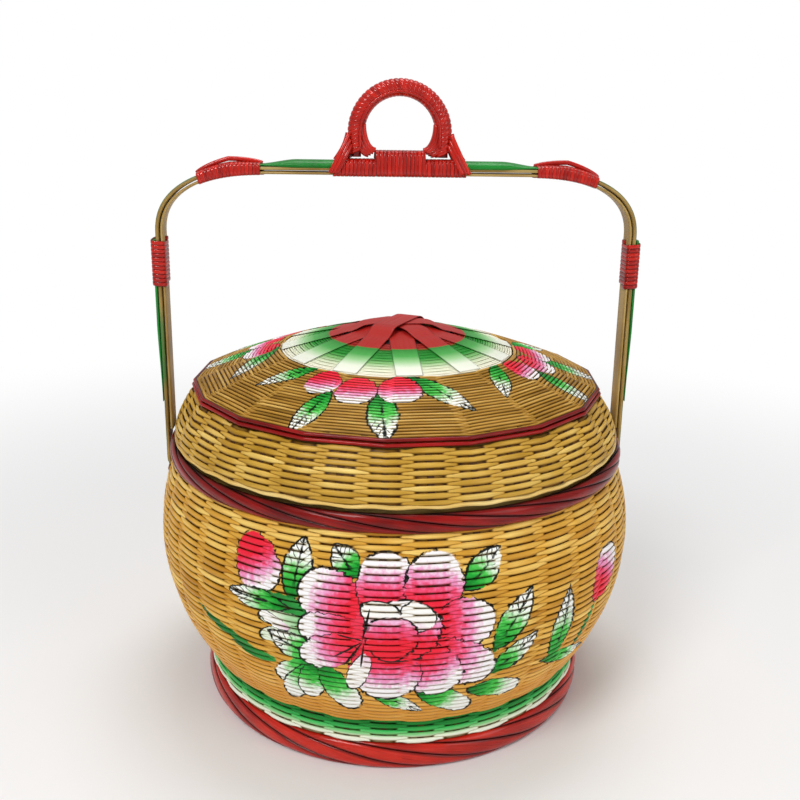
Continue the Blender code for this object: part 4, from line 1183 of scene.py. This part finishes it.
def makeRingFeet():
    # strands at the feet: outside they slope down to the saddle, inside they round the hole's lower corners
    way = np.linspace(0, 1, 21)
    bow, bend = np.sin(math.pi * way), way * math.pi / 2
    base = np.array([0, 0, ring["foot"]])
    for word, side in (("left", -1), ("right", 1)):
        for index, (low, high, top) in enumerate(feet["middle"]):
            x = side * (low + (high - low) * way - feet["middleBow"] * bow)
            path = np.stack([x, 0 * way, top * way - feet["middleSink"] * (1 - way)], -1) * mm + base
            makeRound(f"{word}_flank_{index + 1}", path, feet["middleRadius"],
                      () if index else [f"{word}_flank_strand"])
            for facing, face in faces:
                # from the saddle's lower corner up its face to the ring's side
                mirror = np.array([side, face, 1.0])
                start = mirror * (feet["slopeFrom"] + index * feet["slopeFromStep"])
                end = mirror * (feet["slopeTo"] + index * feet["slopeToStep"])
                path = start + (end - start) * way[:, None] + bow[:, None] * (mirror * feet["slopeBow"])
                makeRound(f"{word}_flank_{index + 1}_{facing}", path * mm + base, feet["slopeRadius"])
        for index in range(feet["knees"]):
            x = feet["kneeX"] + feet["kneeXStep"] * index + feet["kneeWide"] * np.cos(bend)
            z = feet["kneeZ"] - feet["kneeTall"] * np.sin(bend) - feet["kneeZStep"] * index
            for facing, face in faces:
                path = np.stack([side * x, 0 * way + face * feet["kneeY"], z], -1) * mm + base
                makeRound(f"{word}_knee_{index + 1}_{facing}", path, feet["kneeRadius"])


makeRing()
makeRingFeet()
for node in ("grip_ring_core", "ring_pad"):
    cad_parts[node].data.materials.clear()
    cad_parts[node].data.materials.append(coreCane)
print("ring wound")


# Floor, light and camera

camera = {"lens": 42.2, "place": (-28.5 * mm, -591.3 * mm, 368 * mm), "heading": -3 * deg, "tilt": (90 - 16.86) * deg,
          "roll": 0.85 * deg}
studio = {"half": 4, "white": (0.88, 0.875, 0.875, 1), "whiteFrom": 0.28, "whiteTo": 0.95, "sky": 0.42}


def addToScene(data):
    thing = bpy.data.objects.new(data.name, data)
    bpy.context.scene.collection.objects.link(thing)
    return thing


def makeStage():
    mesh = bpy.data.meshes.new("studio_floor")
    corners = [(x * studio["half"], y * studio["half"], 0) for x, y in ((-1, -1), (1, -1), (1, 1), (-1, 1))]
    mesh.from_pydata(corners, [], [(0, 1, 2, 3)])
    finish, n, shader = newFinish("studioWhite")
    n.feedAll(shader.inputs, {"Base Color": studio["white"], "Roughness": 0.9})
    # far from the basket the camera sees plain white, so that the floor meets the backdrop without a line
    reach = n.add("VectorMath", {0: n.objectPlace()}, operation="LENGTH").outputs["Value"]
    far = n.add("MapRange", {"Value": reach, "From Min": studio["whiteFrom"], "From Max": studio["whiteTo"]},
                interpolation_type="SMOOTHSTEP")
    mixed = n.add("MixShader", {0: n.times(far, n.add("LightPath").outputs["Is Camera Ray"]), 1: shader,
                                2: n.add("Emission")})
    n.feed(finish.node_tree.nodes["Material Output"].inputs["Surface"], mixed)
    mesh.materials.append(finish)
    addToScene(mesh)


def makeLight(name, spot, target, size, power):
    data = bpy.data.lights.new(name, "AREA")
    data.shape = "DISK"
    data.size = size
    data.energy = power
    direction = np.array(target) - np.array(spot)
    turn = Vector(direction).to_track_quat("-Z", "Y").to_matrix().to_4x4()
    addToScene(data).matrix_world = Matrix.Translation(spot) @ turn


def makeCamera():
    data = bpy.data.cameras.new("camera")
    data.lens = camera["lens"]
    data.sensor_width = 36
    data.clip_start = 0.01
    view = addToScene(data)
    turn = Matrix.Rotation(camera["heading"], 4, "Z") @ Matrix.Rotation(camera["tilt"], 4, "X")
    view.matrix_world = Matrix.Translation(camera["place"]) @ turn @ Matrix.Rotation(camera["roll"], 4, "Z")
    bpy.context.scene.camera = view


def makeWorld():
    world = bpy.data.worlds.new("studio")
    bpy.context.scene.world = world
    world.use_nodes = True
    n = Nodes(world.node_tree)
    background = world.node_tree.nodes["Background"]
    background.inputs["Color"].default_value = (1, 1, 1, 1)
    seen = n.add("LightPath").outputs["Is Camera Ray"]
    n.feed(background.inputs["Strength"], n.spread(seen, 0, 1, studio["sky"], 1.0))


makeStage()
makeCamera()
makeWorld()
makeLight("key", (-0.7, -1.1, 1.5), (0, 0, 0.15), 0.7, 15)
makeLight("fill", (1.1, -1.0, 0.7), (0, 0, 0.15), 1.0, 5)
makeLight("top", (0.1, 0.3, 1.6), (0, 0, 0.2), 0.8, 8)
bpy.context.scene.view_settings.view_transform = "Standard"
print("studio set")
